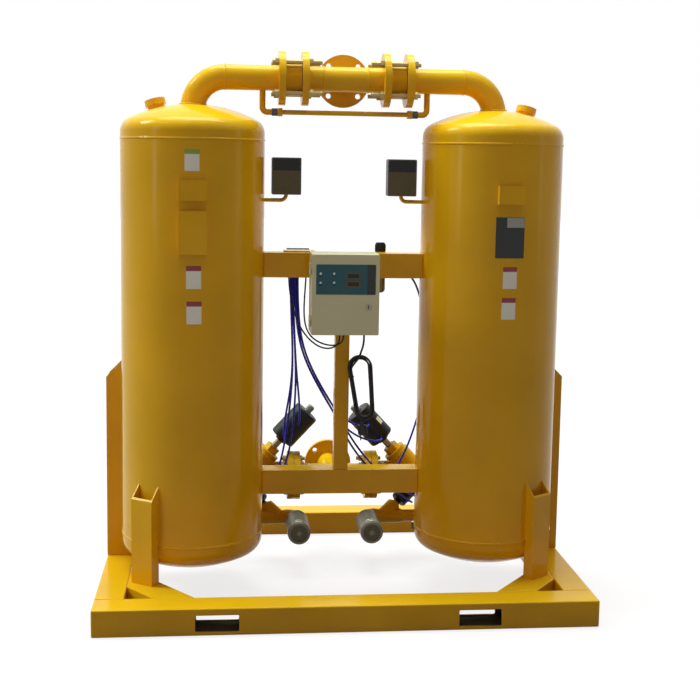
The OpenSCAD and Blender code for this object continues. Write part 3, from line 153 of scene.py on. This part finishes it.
def coated(name, color, rough, grain, depth, spread=0.08, metal=0.0, spec=0.5):
    """A painted, moulded or cast finish: tone and gloss that drift a little, over a fine grain."""
    mat, tree, shader = material(name, color, rough, metal, spec)
    tones = [(0.3, shade(color, 1 - spread)), (0.7, shade(color, 1 + spread))]
    tone = ramp(tree, noise(tree, TONE_SCALE), tones)
    tree.links.new(tone, shader.inputs["Base Color"])
    low, high = max(rough - 0.05, 0.02), rough + 0.07
    patch = ramp(tree, noise(tree, PATCH_SCALE), [(0.3, (low,) * 3), (0.7, (high,) * 3)])
    tree.links.new(patch, shader.inputs["Roughness"])
    bump(tree, shader, noise(tree, grain), GRAIN_STRENGTH, depth)
    return mat


ENAMEL = (0.83, 0.44, 0.009)
enamel = coated("yellow_enamel", ENAMEL, 0.16, 160, 0.0004, spec=0.12)
cast_enamel = coated("cast_enamel", shade(ENAMEL, 0.92), 0.34, 420, 0.0009, spec=0.12)
beige = coated("beige_enamel", (0.69, 0.65, 0.43), 0.42, 700, 0.0003, spread=0.03, spec=0.3)
steel = coated("bare_steel", (0.45, 0.44, 0.42), 0.34, 300, 0.0002, metal=1.0)
plated = coated("plated_studs", (0.34, 0.25, 0.10), 0.42, 500, 0.0003, metal=0.5)
bronze = coated("bronze", (0.36, 0.27, 0.15), 0.40, 400, 0.0003, metal=0.6)
lock_metal = coated("lock_metal", (0.20, 0.18, 0.14), 0.35, 300, 0.0002, metal=0.7)
# Unpainted steel inside the skid beams, made near black as painted shade for the dark inside the fork pockets
bare_and_shaded_inside = coated("bare_and_shaded_inside", (0.035, 0.028, 0.014), 0.7, 200, 0.0004)
black_plastic = coated("black_plastic", (0.009, 0.009, 0.012), 0.42, 600, 0.0004, spec=0.25)
rubber = coated("black_rubber", (0.009, 0.009, 0.010), 0.5, 900, 0.0002, spec=0.25)
navy = coated("navy_plastic", (0.014, 0.018, 0.07), 0.45, 600, 0.0002)
tube_blue = coated("tube_blue", (0.040, 0.042, 0.84), 0.32, 500, 0.0001, spread=0.12, spec=0.3)
teal = coated("teal_overlay", (0.020, 0.092, 0.115), 0.38, 900, 0.0001, spread=0.05, spec=0.25)
controller_green = coated("controller_case", (0.03, 0.07, 0.05), 0.5, 500, 0.0002)
dark_metal = coated("dark_casting", (0.06, 0.06, 0.065), 0.45, 500, 0.0006)
silencer_metal = coated("silencer_metal", (0.17, 0.15, 0.125), 0.5, 260, 0.0009, metal=0.5, spread=0.2)
silencer_face = coated("silencer_face", (0.075, 0.078, 0.035), 0.5, 300, 0.0006)
desiccant = coated("desiccant_beads", (0.80, 0.78, 0.70), 0.8, 260, 0.004)
gasket_grey = coated("gasket", (0.02, 0.02, 0.02), 0.7, 600, 0.0003)


def clear_plastic(name, color, rough, through):
    """A tinted plastic that lets a share of the light through."""
    mat, tree, shader = material(name, color, rough)
    shader.inputs["Transmission Weight"].default_value = through
    shader.inputs["IOR"].default_value = 1.49
    bump(tree, shader, noise(tree, 40), 0.05, 0.0005)
    return mat


bowl_plastic = clear_plastic("bowl_plastic", (0.26, 0.22, 0.05), 0.25, 0.3)
smoky_cap = clear_plastic("smoky_cap", (0.40, 0.41, 0.42), 0.18, 0.45)
window_black = coated("window_black", (0.010, 0.010, 0.009), 0.2, 60, 0.0001, spec=0.2)
window_brown = coated("window_brown", (0.105, 0.082, 0.035), 0.25, 60, 0.0001, spread=0.12, spec=0.2)
label_white = coated("label_white", (0.86, 0.84, 0.77), 0.55, 300, 0.0001)
label_red = coated("label_red", (0.22, 0.012, 0.012), 0.4, 300, 0.0001)
label_green = coated("label_green", (0.22, 0.32, 0.02), 0.4, 300, 0.0001)
plate_dark = coated("plate_dark", (0.020, 0.024, 0.022), 0.35, 300, 0.0001, spec=0.25)
plate_grey = coated("plate_grey", (0.34, 0.34, 0.30), 0.4, 300, 0.0001)
lamp_white = coated("lamp_white", (0.75, 0.78, 0.80), 0.25, 200, 0.0001)

FINISHES = {
    "flange_bolts": plated, "valve_bonnets": bronze, "bed_screens": steel, "panel_lock": lock_metal,
    "panel_box": beige, "panel_door": beige, "door_overlay": teal, "controller_unit": controller_green,
    "cable_glands": black_plastic, "purge_unions": dark_metal, "pilot_valves": navy,
    "regulator_body": dark_metal, "regulator_bowl": bowl_plastic, "regulator_knob": black_plastic,
    "actuator_housings": black_plastic, "indicator_caps": smoky_cap, "silencers": silencer_metal,
    "gauge_cases": dark_metal, "gauge_windows": window_brown, "desiccant_beds": desiccant,
    "flange_gaskets": gasket_grey, "power_plug": rubber,
    "inlet_valve_bodies": cast_enamel, "exhaust_valve_bodies": cast_enamel, "check_valve_bodies": cast_enamel,
}
FINISHES.update({name: steel for name in nodes if "_stem_" in name or name.startswith("check_disc")})
BEVELLED = {
    "end_beams": 0.005, "side_beams": 0.005, "cross_beams": 0.005, "corner_braces": 0.004,
    "centre_post": 0.004, "tower_posts": 0.0025, "panel_box": 0.002, "gauge_cases": 0.002,
    "valve_bracket": 0.001, "pilot_valves": 0.001,
}
MERGE_BELOW = 0.00001
BEVEL_FROM = math.radians(50)
CRISP_FROM = math.radians(32)


def finish_node(name, obj):
    """Paint, rounded edges on box-like pieces, crisp edges elsewhere and shading led by the large faces."""
    obj.data.materials.clear()
    obj.data.materials.append(FINISHES.get(name, enamel))
    obj.data.shade_smooth()
    weld = obj.modifiers.new("weld", "WELD")
    weld.merge_threshold = MERGE_BELOW
    if name in BEVELLED:
        bevel = obj.modifiers.new("bevel", "BEVEL")
        bevel.width = BEVELLED[name]
        bevel.segments = 3
        bevel.limit_method = "ANGLE"
        bevel.angle_limit = BEVEL_FROM
    edges = obj.modifiers.new("edges", "EDGE_SPLIT")
    edges.split_angle = CRISP_FROM
    normals = obj.modifiers.new("normals", "WEIGHTED_NORMAL")
    normals.mode = "FACE_AREA"


for name, obj in nodes.items():
    finish_node(name, obj)


def paint_faces(name, mat, chosen):
    """Second finish for the faces whose middle is chosen."""
    obj = nodes[name]
    obj.data.materials.append(mat)
    for face in obj.data.polygons:
        if chosen(obj.matrix_world @ face.center):
            face.material_index = 1


def inside_beam(point):
    """Inner walls of the hollow front and back beams of the skid, where the shade inside the fork pockets is
    painted.
    """
    _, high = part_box("end_beams")
    depth = high.y - abs(point.y)
    return WALL < depth < BEAM_D - WALL and WALL < point.z < high.z - WALL and abs(point.x) < high.x - WALL


def painted_bonnet(point):
    """Foot and nut of an inlet valve's bonnet, which are painted with the body."""
    reach = Vector((abs(point.x), point.y, point.z)) - Vector((VALVE_X, INLET_Y, INLET_Z))
    return reach.dot(STEM) < BONNET_NUT_END


# The skid beams' inner walls get the near-black inside finish: bare steel with the fork pockets' shade
# painted on
paint_faces("end_beams", bare_and_shaded_inside, inside_beam)
paint_faces("valve_bonnets", cast_enamel, painted_bonnet)


# Pieces made here

def add(obj, mat, body="frame"):
    """Puts a piece in the scene with its material and lets it ride on a body."""
    scene.collection.objects.link(obj)
    obj.data.materials.append(mat)
    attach(obj, body)
    return obj


def from_bmesh(name, mesh, mat, body="frame", smooth=True):
    """A piece from a mesh in the making."""
    data = bpy.data.meshes.new(name)
    mesh.to_mesh(data)
    mesh.free()
    if smooth:
        data.shade_smooth()
    return add(bpy.data.objects.new(name, data), mat, body)


def strand(name, points, diameter, mat, closed=False):
    """A round cord along points."""
    curve = bpy.data.curves.new(name, "CURVE")
    curve.dimensions = "3D"
    curve.bevel_depth = diameter / 2
    curve.bevel_resolution = 4
    curve.use_fill_caps = True
    line = curve.splines.new("POLY")
    line.points.add(len(points) - 1)
    for place, point in zip(line.points, points):
        place.co = (*point, 1)
    line.use_cyclic_u = closed
    line.use_smooth = True
    return add(bpy.data.objects.new(name, curve), mat)


def smooth_route(points, steps):
    """Points of a smooth curve through all given points."""
    route = []
    for i in range(len(points) - 1):
        a, b = points[max(i - 1, 0)], points[i]
        c, d = points[i + 1], points[min(i + 2, len(points) - 1)]
        for k in range(steps):
            t = k / steps
            route.append(0.5 * (2 * b + (c - a) * t + (2 * a - 5 * b + 4 * c - d) * t * t
                                + (3 * b - a - 3 * c + d) * t ** 3))
    return route + [points[-1]]


def eased(points, rounds):
    """The same route with its bends eased; the ends stay."""
    for _ in range(rounds):
        inner = [0.25 * a + 0.5 * b + 0.25 * c for a, b, c in zip(points[1:], points[2:], points[3:])]
        points = points[:2] + inner + points[-1:]
    return points


def metres(route):
    """A route that is written in millimetres."""
    return [Vector(p) / 1000 for p in route]


# Cords: the routes of the solids, in millimetres

TUBES = {
    "air_tube_1": [(-183.5, -45, 1146), (-183.5, -45, 1080), (-178, -38, 980), (-173, -14, 880),
                   (-170, 26, 790), (-176, 66, 700), (-186, 94, 630), (-196, 110, 570), (-198, 118, 525),
                   (-194, 130, 500), (-190, 153, 493)],
    "air_tube_2": [(-175, -45, 1146), (-175, -45, 1080), (-169.5, -38, 980), (-164, -14, 880),
                   (-156, 26, 790), (-146, 66, 710), (-139, 94, 650), (-136, 112, 605), (-137, 122, 575),
                   (-138, 134, 555), (-138, 153, 548)],
    "air_tube_3": [(-183.5, -25, 1146), (-183.5, -25, 1080), (-178, -22, 980), (-172.5, 3, 880),
                   (-168, 44, 780), (-172, 84, 680), (-180, 104, 580), (-194, 112, 480), (-210, 114, 400),
                   (-236, 122, 330), (-276, 140, 272), (-316, 162, 232), (-330, 187, 221),
                   (-311, 221, 221)],
    "air_tube_4": [(-175, -25, 1146), (-175, -25, 1080), (-169.5, -22, 980), (-163.5, 3, 880),
                   (-156, 44, 780), (-155, 84, 680), (-160, 104, 580), (-170, 110, 480), (-187, 108, 400),
                   (-222, 112, 340), (-276, 126, 292), (-330, 152, 256), (-356, 200, 243),
                   (-336, 236, 242)],
    "air_tube_5": [(-166.5, -45, 1146), (-166.5, -45, 1080), (-160, -34, 985), (-146, -18, 874),
                   (-96, 20, 768), (-42, 55, 672), (-7, 76, 613), (26, 90, 564), (66, 98, 526),
                   (116, 108, 500), (160, 119, 488), (186, 134, 489), (190, 153, 493)],
    "air_tube_6": [(-158, -45, 1146), (-158, -45, 1080), (-151.5, -34, 986), (-138, -18, 878),
                   (-88.5, 20, 772.5), (-34.5, 55, 676.5), (2, 77, 619), (44, 94, 578), (84, 108, 556),
                   (118, 120, 545), (136, 136, 546), (138, 153, 548)],
    "air_tube_7": [(-166.5, -25, 1146), (-166.5, -25, 1080), (-161, -25, 988), (-147, -9, 877),
                   (-97, 29, 771), (-43, 64, 675), (-8, 85.5, 615), (20, 100, 560), (50, 108, 500),
                   (88, 112, 442), (128, 114, 394), (176, 116, 346), (226, 124, 302), (276, 140, 262),
                   (316, 164, 230), (330, 187, 221), (311, 221, 221)],
    "air_tube_8": [(-158, -25, 1146), (-158, -25, 1080), (-152.5, -25, 989), (-139, -9, 881),
                   (-89.5, 29, 775.5), (-35.5, 64, 679.5), (1, 86, 622), (32, 101, 563), (65, 108, 505),
                   (104, 110, 450), (146, 110, 400), (196, 112, 352), (246, 120, 310), (296, 136, 276),
                   (336, 160, 252), (356, 200, 243), (336, 236, 242)],
    "supply_tube": [(183, -53, 1185), (214, -53, 1179), (248, -49, 1166), (274, -38, 1146),
                    (300, 0, 1098), (330, 60, 1020), (352, 120, 920), (362, 160, 800), (356, 172, 680),
                    (341, 164, 600), (322, 152, 546), (293, 148, 454), (264, 141, 404), (246, 134, 374),
                    (242, 133, 356)],
}
CABLES = {
    "valve_cable_1": [(-192, -58, 1167), (-192, -62, 1120), (-184, -90, 1060), (-166, -140, 998),
                      (-140, -180, 950), (-102, -208, 918), (-70, -222, 906), (-40, -228, 909),
                      (-22, -230, 923), (-16, -230, 942), (-16, -230, 952), (-16, -230, 959)],
    "valve_cable_2": [(-128, -58, 1167), (-130, -62, 1120), (-136, -80, 1060), (-138, -110, 1010),
                      (-134, -145, 972), (-118, -188, 944), (-90, -224, 930), (-58, -241, 921),
                      (-28, -246, 922), (-10, -246, 932), (-4, -246, 946), (-4, -246, 953),
                      (-4, -246, 959)],
}
TUBE_D = 0.008
CABLE_D = 0.006
ROUTE_STEPS = 4
EASING_ROUNDS = 14


def fixed_cord(name, route, diameter, mat):
    """A tube or cable that runs from one fitting of the object to another."""
    points = eased(smooth_route(metres(route), ROUTE_STEPS), EASING_ROUNDS)
    piece = strand(name + "_line", points, diameter, mat)
    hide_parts(name)


for name, route in TUBES.items():
    fixed_cord(name, route, TUBE_D, tube_blue)
for name, route in CABLES.items():
    fixed_cord(name, route, CABLE_D, rubber)

# The power lead hangs from its gland in a hank of five turns and ends in its plug
LEAD_D = 0.0074
LEAD_STEPS = 2
LEAD_DROP = [(70, -241.5, 959), (70, -241.5, 940), (67, -241.5, 918), (61, -241.5, 900), (55, -241.5, 880)]
HANK_TOP = Vector((0.054, -0.224, 0.8845))
HANK_TILT = math.radians(-7)
HANK_PITCH = 0.0083
# Height of the middle and radius of the loop's two end circles, in metres from the hank's top
HANK_UPPER = (-0.045, 0.041)
HANK_LOWER = (-0.204, 0.032)
# Places that the turns take one after the other, in pitches inwards and to the back
HANK_SLOTS = [(1, -1), (1, 0), (1, 1), (0, 1), (0, 0), (0, -1)]
TURN_POINTS = 40
LAST_LIMB = 12
# The way into the hank and the way out of it to the plug, in metres from the hank's top
HANK_CROSSING = [(-0.006, -0.0172, -0.012), (-0.020, -0.0164, -0.026), (-0.029, -0.0135, -0.037)]
HANK_TAIL = [(-0.0305, -0.210), (-0.0265, -0.2185), (-0.0205, -0.227), (-0.0168, -0.2335), (-0.016, -0.2387)]


def hank_place(x, y, z):
    """A point of the hank's own frame, in the object's frame."""
    return HANK_TOP + Matrix.Rotation(HANK_TILT, 3, "Y") @ Vector((x, y, z))


def belt_point(share, inset):
    """Point of the loop round the hank's two end circles, from the left side downwards."""
    top, bottom = HANK_UPPER[0], HANK_LOWER[0]
    r_top, r_bottom = HANK_UPPER[1] - inset, HANK_LOWER[1] - inset
    lean = math.asin((r_top - r_bottom) / (top - bottom))
    side = (top - bottom) * math.cos(lean)
    low_arc, high_arc = r_bottom * (math.pi - 2 * lean), r_top * (math.pi + 2 * lean)
    at = (share % 1) * (2 * side + low_arc + high_arc)
    start = math.pi + lean
    if at < side:
        out, along = Vector((math.cos(start), math.sin(start))), at / side
        return out * (r_top + (r_bottom - r_top) * along) + Vector((0, top + (bottom - top) * along))
    at -= side
    if at < low_arc:
        angle = start + at / r_bottom
        return Vector((math.cos(angle), math.sin(angle))) * r_bottom + Vector((0, bottom))
    at -= low_arc
    if at < side:
        out, along = Vector((math.cos(-lean), math.sin(-lean))), at / side
        return out * (r_bottom + (r_top - r_bottom) * along) + Vector((0, bottom + (top - bottom) * along))
    angle = -lean + (at - side) / r_top
    return Vector((math.cos(angle), math.sin(angle))) * r_top + Vector((0, top))


def hank_turns():
    """Turns that each move over to the next place, the first one late in its round and the last one early."""
    turns = len(HANK_SLOTS) - 1
    points = []
    for turn in range(turns):
        move_from = (turns - 1 - turn) / turns
        for k in range(TURN_POINTS):
            share = k / TURN_POINTS
            t = min(max((share - move_from) * turns, 0), 1)
            t = t * t * (3 - 2 * t)
            (inset_a, depth_a), (inset_b, depth_b) = HANK_SLOTS[turn], HANK_SLOTS[turn + 1]
            inset = HANK_PITCH * (inset_a + (inset_b - inset_a) * t)
            depth = HANK_PITCH * (depth_a + (depth_b - depth_a) * t)
            x, z = belt_point(share, inset)
            points.append(hank_place(x, depth, z))
    return points


def power_lead():
    """Down from the gland, across the hank's top, round its turns and out of the last one into the plug."""
    front = HANK_SLOTS[-1][1] * HANK_PITCH
    crossing = [hank_place(*p) for p in HANK_CROSSING]
    limb = [hank_place(x, front, z) for x, z in (belt_point(k / TURN_POINTS, 0) for k in range(LAST_LIMB))]
    tail = [hank_place(x, front, z) for x, z in HANK_TAIL]
    return smooth_route(metres(LEAD_DROP) + crossing + hank_turns() + limb + tail, LEAD_STEPS)


lead_points = power_lead()
lead = strand("power_lead", lead_points, LEAD_D, rubber)
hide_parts("power_cord", "cord_hank")

TIE_Z = -0.075
TIE_D = 0.003
TIE_SHARE = 0.06
TIE_POINTS = 32


def hank_tie():
    """Tie round the left limb of the hank."""
    outer, inner = belt_point(TIE_SHARE, 0), belt_point(TIE_SHARE, HANK_PITCH)
    reach = LEAD_D / 2 + TIE_D / 2
    points = []
    for k in range(TIE_POINTS):
        a = 2 * math.pi * k / TIE_POINTS
        x = 0.5 * (outer.x + inner.x) + (0.5 * abs(outer.x - inner.x) + reach) * math.cos(a)
        y = (HANK_PITCH + reach) * math.sin(a)
        points.append(hank_place(x, y, TIE_Z))
    return points


strand("hank_tie", hank_tie(), TIE_D, black_plastic, closed=True)


# Weld beads

BEAD_POINTS = 72
BEAD_RIPPLES = 24
RIPPLE_SHARE = 0.06
TEE_END_X = 0.080
ELBOW_START_X = 0.426
NOZZLE_FOOT_Z = 1.7655
NOZZLE_R = PIPE_R + 0.001
PIPE_BEAD = 0.0022
NOZZLE_BEAD = 0.004


def bead(name, centre, axis, radius, thick, mat=enamel):
    """A weld bead or ring round a pipe; thick is half its height."""
    turn = Vector(axis).to_track_quat("Z", "Y").to_matrix()
    points = []
    for k in range(BEAD_POINTS):
        a = 2 * math.pi * k / BEAD_POINTS
        ripple = thick * RIPPLE_SHARE * math.sin(BEAD_RIPPLES * a)
        ring = Vector((math.cos(a), math.sin(a), 0)) * (radius + ripple)
        points.append(Vector(centre) + turn @ ring)
    strand(name, points, 2 * thick, mat, closed=True)


for side, sign in (("left", -1), ("right", 1)):
    bead(f"tee_weld_{side}", (sign * TEE_END_X, TOWER_Y, MANIFOLD_Z), (1, 0, 0), PIPE_R, PIPE_BEAD)
    bead(f"elbow_weld_{side}", (sign * ELBOW_START_X, TOWER_Y, MANIFOLD_Z), (1, 0, 0), PIPE_R, PIPE_BEAD)
    bead(f"nozzle_weld_{side}", (sign * TOWER_X, TOWER_Y, NOZZLE_FOOT_Z), (0, 0, 1), NOZZLE_R, NOZZLE_BEAD)


# Blank labels and plates on the tower fronts and an actuator

SHEET = 0.0004
RAISED_SHEET = 0.0007
SHEET_STEPS = 12
LABEL_HEAD_SHARE = 0.22
ACTUATOR_R = 0.052
ACTUATOR_LABEL_ALONG = 0.272
ACTUATOR_LABEL_TURN = 54
ACTUATOR_LABEL_SIZE = (0.021, 0.030)


def wrapped(name, origin, side, up, radius, turn, size, mat, lift):
    """Thin sheet round a cylinder that stands along up; turn is its middle, in degrees from the front."""
    mesh = bmesh.new()
    r = radius + lift
    rows = []
    for v in (-0.5, 0.5):
        row = []
        for k in range(SHEET_STEPS + 1):
            a = math.radians(turn) + (k / SHEET_STEPS - 0.5) * size[0] / r
            out = side * math.sin(a) + Vector((0, -math.cos(a), 0))
            row.append(mesh.verts.new(origin + r * out + up * v * size[1]))
        rows.append(row)
    for k in range(SHEET_STEPS):
        mesh.faces.new((rows[0][k], rows[0][k + 1], rows[1][k + 1], rows[1][k]))
    piece = from_bmesh(name, mesh, mat, smooth=False)
    solid = piece.modifiers.new("thickness", "SOLIDIFY")
    solid.thickness = lift


def tower_patch(name, side, turn, z, width, height, mat, lift=SHEET):
    """Sheet on the wall of the left (-1) or right (1) tower."""
    origin = Vector((side * TOWER_X, TOWER_Y, z))
    wrapped(name, origin, Vector((1, 0, 0)), Vector((0, 0, 1)), TOWER_R, turn, (width, height), mat, lift)


def label(name, side, turn, z, width, height, head):
    """Blank two-tone label."""
    head_h = height * LABEL_HEAD_SHARE
    tower_patch(name + "_field", side, turn, z - head_h / 2, width, height - head_h, label_white)
    tower_patch(name + "_head", side, turn, z + (height - head_h) / 2, width, head_h, head)


label("label_left_a", -1, 0.96, 1.570, 0.050, 0.073, label_green)
label("label_left_b", -1, 2.21, 1.175, 0.051, 0.078, label_red)
label("label_left_c", -1, 2.53, 1.054, 0.051, 0.078, label_red)
label("label_right_a", 1, 4.94, 1.181, 0.050, 0.076, label_red)
label("label_right_b", 1, 4.53, 1.073, 0.050, 0.076, label_red)
tower_patch("rating_plate", 1, 4.3, 1.3206, 0.104, 0.142, plate_dark)
tower_patch("rating_field", 1, 8.6, 1.373, 0.064, 0.034, plate_grey, lift=RAISED_SHEET)
on_stem = Vector((VALVE_X, INLET_Y, INLET_Z)) + STEM * ACTUATOR_LABEL_ALONG
across_stem = Vector((STEM.z, 0, -STEM.x))
wrapped("actuator_label", on_stem, across_stem, STEM, ACTUATOR_R, ACTUATOR_LABEL_TURN, ACTUATOR_LABEL_SIZE,
        label_white, SHEET)


# Door keypad: lamps, blank fields, display windows and a dark end strip

PLATE_EDGE = 0.0004
FINE_EDGE = 0.0003
THIN_EDGE = 0.0002


def plate(name, centre, size, mat, body="frame", bevel=PLATE_EDGE):
    """Small block with rounded edges."""
    mesh = bmesh.new()
    bmesh.ops.create_cube(mesh, size=1, matrix=Matrix.Translation(centre) @ Matrix.Diagonal((*size, 1)))
    bmesh.ops.bevel(mesh, geom=mesh.edges[:], offset=bevel, segments=2, affect="EDGES")
    from_bmesh(name, mesh, mat, body, smooth=False)


overlay_low, overlay_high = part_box("door_overlay")
OVERLAY_SIZE = overlay_high - overlay_low
STRIP_SIZE = (0.0295, 0.0006, OVERLAY_SIZE.z - 0.001)
LAMP_R = 0.0042
LAMP_FLATNESS = 0.5
FIELD_SIZE = (0.013, 0.0005, 0.006)
FIELD_DROP = 0.0085
DISPLAY_SIZE = (0.052, 0.0016, 0.025)
DIGITS_SIZE = (0.040, 0.0020, 0.014)
DISPLAY_U = 0.623


def on_overlay(u, v):
    """Point of the overlay's face from shares of its width and height, from the top left."""
    return Vector((overlay_low.x + u * OVERLAY_SIZE.x, overlay_low.y, overlay_high.z - v * OVERLAY_SIZE.z))


def keypad_lamp(name, spot):
    """Flattened dome."""
    dome = bmesh.new()
    bmesh.ops.create_uvsphere(dome, u_segments=24, v_segments=12, radius=LAMP_R,
                              matrix=Matrix.Translation(spot) @ Matrix.Diagonal((1, LAMP_FLATNESS, 1, 1)))
    from_bmesh(name, dome, lamp_white, "door")


plate("keypad_strip", on_overlay(0.93, 0.5), STRIP_SIZE, plate_dark, "door", THIN_EDGE)
for i, u in enumerate((0.075, 0.30)):
    for j, v in enumerate((0.31, 0.61)):
        spot = on_overlay(u, v)
        keypad_lamp(f"keypad_lamp_{i}{j}", spot)
        below = spot - Vector((0, 0, FIELD_DROP))
        plate(f"keypad_field_{i}{j}", below, FIELD_SIZE, plate_dark, "door", THIN_EDGE)
for j, v in enumerate((0.38, 0.65)):
    spot = on_overlay(DISPLAY_U, v)
    plate(f"keypad_display_{j}", spot, DISPLAY_SIZE, window_brown, "door")
    plate(f"keypad_digits_{j}", spot, DIGITS_SIZE, window_black, "door")


# Keyway of the door lock

LOCK_R = 0.011
KEYWAY_SIZE = (0.0035, 0.0012, 0.013)
lock_low, lock_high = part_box("panel_lock")
keyway = Vector((0.5 * (lock_low.x + lock_high.x), lock_low.y, lock_high.z - LOCK_R))
plate("lock_keyway", keyway, KEYWAY_SIZE, window_black, "lock", FINE_EDGE)


# Gauge fronts: a black band over a brown window

GAUGE_HALF_W = 0.0482
BAND_BELOW_TOP = 0.021
BAND_SIZE = (0.0955, 0.0008, 0.041)
window_low, window_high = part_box("gauge_windows")
for side, sign in (("left", -1), ("right", 1)):
    band = Vector((sign * (window_high.x - GAUGE_HALF_W), window_low.y, window_high.z - BAND_BELOW_TOP))
    plate(f"gauge_band_{side}", band, BAND_SIZE, window_black, bevel=FINE_EDGE)


# Silencers: bright rings and an olive front

RING_BEAD = 0.002
# How far each ring lies behind the silencer's end and inside its outer radius
RINGS = [(0.007, 0.003), (0.020, 0.001), (0.038, 0.001)]
FACE_BACK = 0.0026
FACE_INSET = 0.0105
FACE_T = 0.001
silencer_low, silencer_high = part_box("silencers")
silencer_r = 0.5 * (silencer_high.z - silencer_low.z)


def silencer_front(name, centre):
    """Round sheet in the end of a silencer."""
    disc = bmesh.new()
    place = Matrix.Translation(centre) @ Matrix.Rotation(math.pi / 2, 4, "X")
    bmesh.ops.create_cone(disc, cap_ends=True, segments=48, radius1=silencer_r - FACE_INSET,
                          radius2=silencer_r - FACE_INSET, depth=FACE_T, matrix=place)
    from_bmesh(name, disc, silencer_face, smooth=False)


for side, sign in (("left", -1), ("right", 1)):
    end_x = sign * (silencer_high.x - silencer_r)
    end = Vector((end_x, silencer_low.y, 0.5 * (silencer_low.z + silencer_high.z)))
    for i, (back, inset) in enumerate(RINGS):
        ring = end + Vector((0, back, 0))
        bead(f"silencer_ring_{side}_{i}", ring, (0, 1, 0), silencer_r - inset, RING_BEAD, steel)
    silencer_front(f"silencer_face_{side}", end + Vector((0, FACE_BACK, 0)))


# Stage

WARM = (1.0, 0.86, 0.62)
COOL = (0.80, 1.0, 0.78)
TUBE_LAMP_PLACES = (-2.4, -1.2, 0.3, 1.6, 2.8)
AMBIENT = 0.09
FLOOR_TONE = 0.79
FLOOR_HALF = 30
FLOOR_DROP = 0.0005


def area_light(name, place, target, size, power, color=(1, 1, 1)):
    """A flat lamp that looks at a target."""
    lamp = bpy.data.lights.new(name, "AREA")
    lamp.shape = "RECTANGLE"
    lamp.size, lamp.size_y = size
    lamp.energy = power
    lamp.color = color
    obj = bpy.data.objects.new(name, lamp)
    scene.collection.objects.link(obj)
    way = Vector(target) - Vector(place)
    obj.matrix_world = Matrix.Translation(place) @ way.to_track_quat("-Z", "Y").to_matrix().to_4x4()


def sun_light(name, way, power, spread, color):
    """Parallel light that travels along way; spread is its softness, in degrees."""
    lamp = bpy.data.lights.new(name, "SUN")
    lamp.energy = power
    lamp.angle = math.radians(spread)
    lamp.color = color
    obj = bpy.data.objects.new(name, lamp)
    obj.matrix_world = Vector(way).to_track_quat("-Z", "Y").to_matrix().to_4x4()
    scene.collection.objects.link(obj)


sun_light("ceiling", (0.06, -0.26, -0.96), 2.9, 40, COOL)
area_light("ceiling_panel", (0, -0.13, 3.7), (0, -0.13, 0), (1.4, 0.4), 20, COOL)
sun_light("left_lamp", (0.70, -0.16, -0.69), 1.7, 18, COOL)
area_light("left_side", (-4.2, -2.4, 2.4), (-0.3, 0, 1.0), (0.5, 2.8), 24, WARM)
area_light("right_side", (4.0, -1.2, 2.2), (0.4, 0, 1.0), (0.12, 2.6), 6, WARM)
for i, x in enumerate(TUBE_LAMP_PLACES):
    area_light(f"tube_lamp_{i}", (x, -1.4, 4.3), (x * 0.4, 0, 1.2), (0.7, 0.08), 5)


def seen_rays(tree):
    """1 for rays that come from the camera, a mirror-like surface or glass."""
    path = tree.nodes.new("ShaderNodeLightPath")
    value = path.outputs["Is Camera Ray"]
    for kind in ("Is Glossy Ray", "Is Transmission Ray"):
        either = tree.nodes.new("ShaderNodeMath")
        either.operation = "MAXIMUM"
        tree.links.new(value, either.inputs[0])
        tree.links.new(path.outputs[kind], either.inputs[1])
        value = either.outputs["Value"]
    return value


world = bpy.data.worlds.new("studio")
world.use_nodes = True
scene.world = world
world_tree = world.node_tree
sky = world_tree.nodes["Background"]
sky.inputs["Color"].default_value = (*WARM, 1)
sky.inputs["Strength"].default_value = AMBIENT
backdrop = world_tree.nodes.new("ShaderNodeBackground")
backdrop.inputs["Color"].default_value = (1, 1, 1, 1)
mix = world_tree.nodes.new("ShaderNodeMixShader")
world_tree.links.new(seen_rays(world_tree), mix.inputs["Fac"])
world_tree.links.new(sky.outputs["Background"], mix.inputs[1])
world_tree.links.new(backdrop.outputs["Background"], mix.inputs[2])
world_tree.links.new(mix.outputs["Shader"], world_tree.nodes["World Output"].inputs["Surface"])

floor_paint, floor_tree, floor_shader = material("floor_paint", (0.22, 0.18, 0.22), 0.7, spec=0.1)
floor_shader.inputs["Emission Color"].default_value = (FLOOR_TONE, FLOOR_TONE, FLOOR_TONE, 1)
floor_tree.links.new(seen_rays(floor_tree), floor_shader.inputs["Emission Strength"])
floor_mesh = bmesh.new()
bmesh.ops.create_grid(floor_mesh, x_segments=1, y_segments=1, size=FLOOR_HALF)
floor_data = bpy.data.meshes.new("floor")
floor_mesh.to_mesh(floor_data)
floor_mesh.free()
floor = bpy.data.objects.new("floor", floor_data)
floor.location.z = -FLOOR_DROP
scene.collection.objects.link(floor)
floor.data.materials.append(floor_paint)
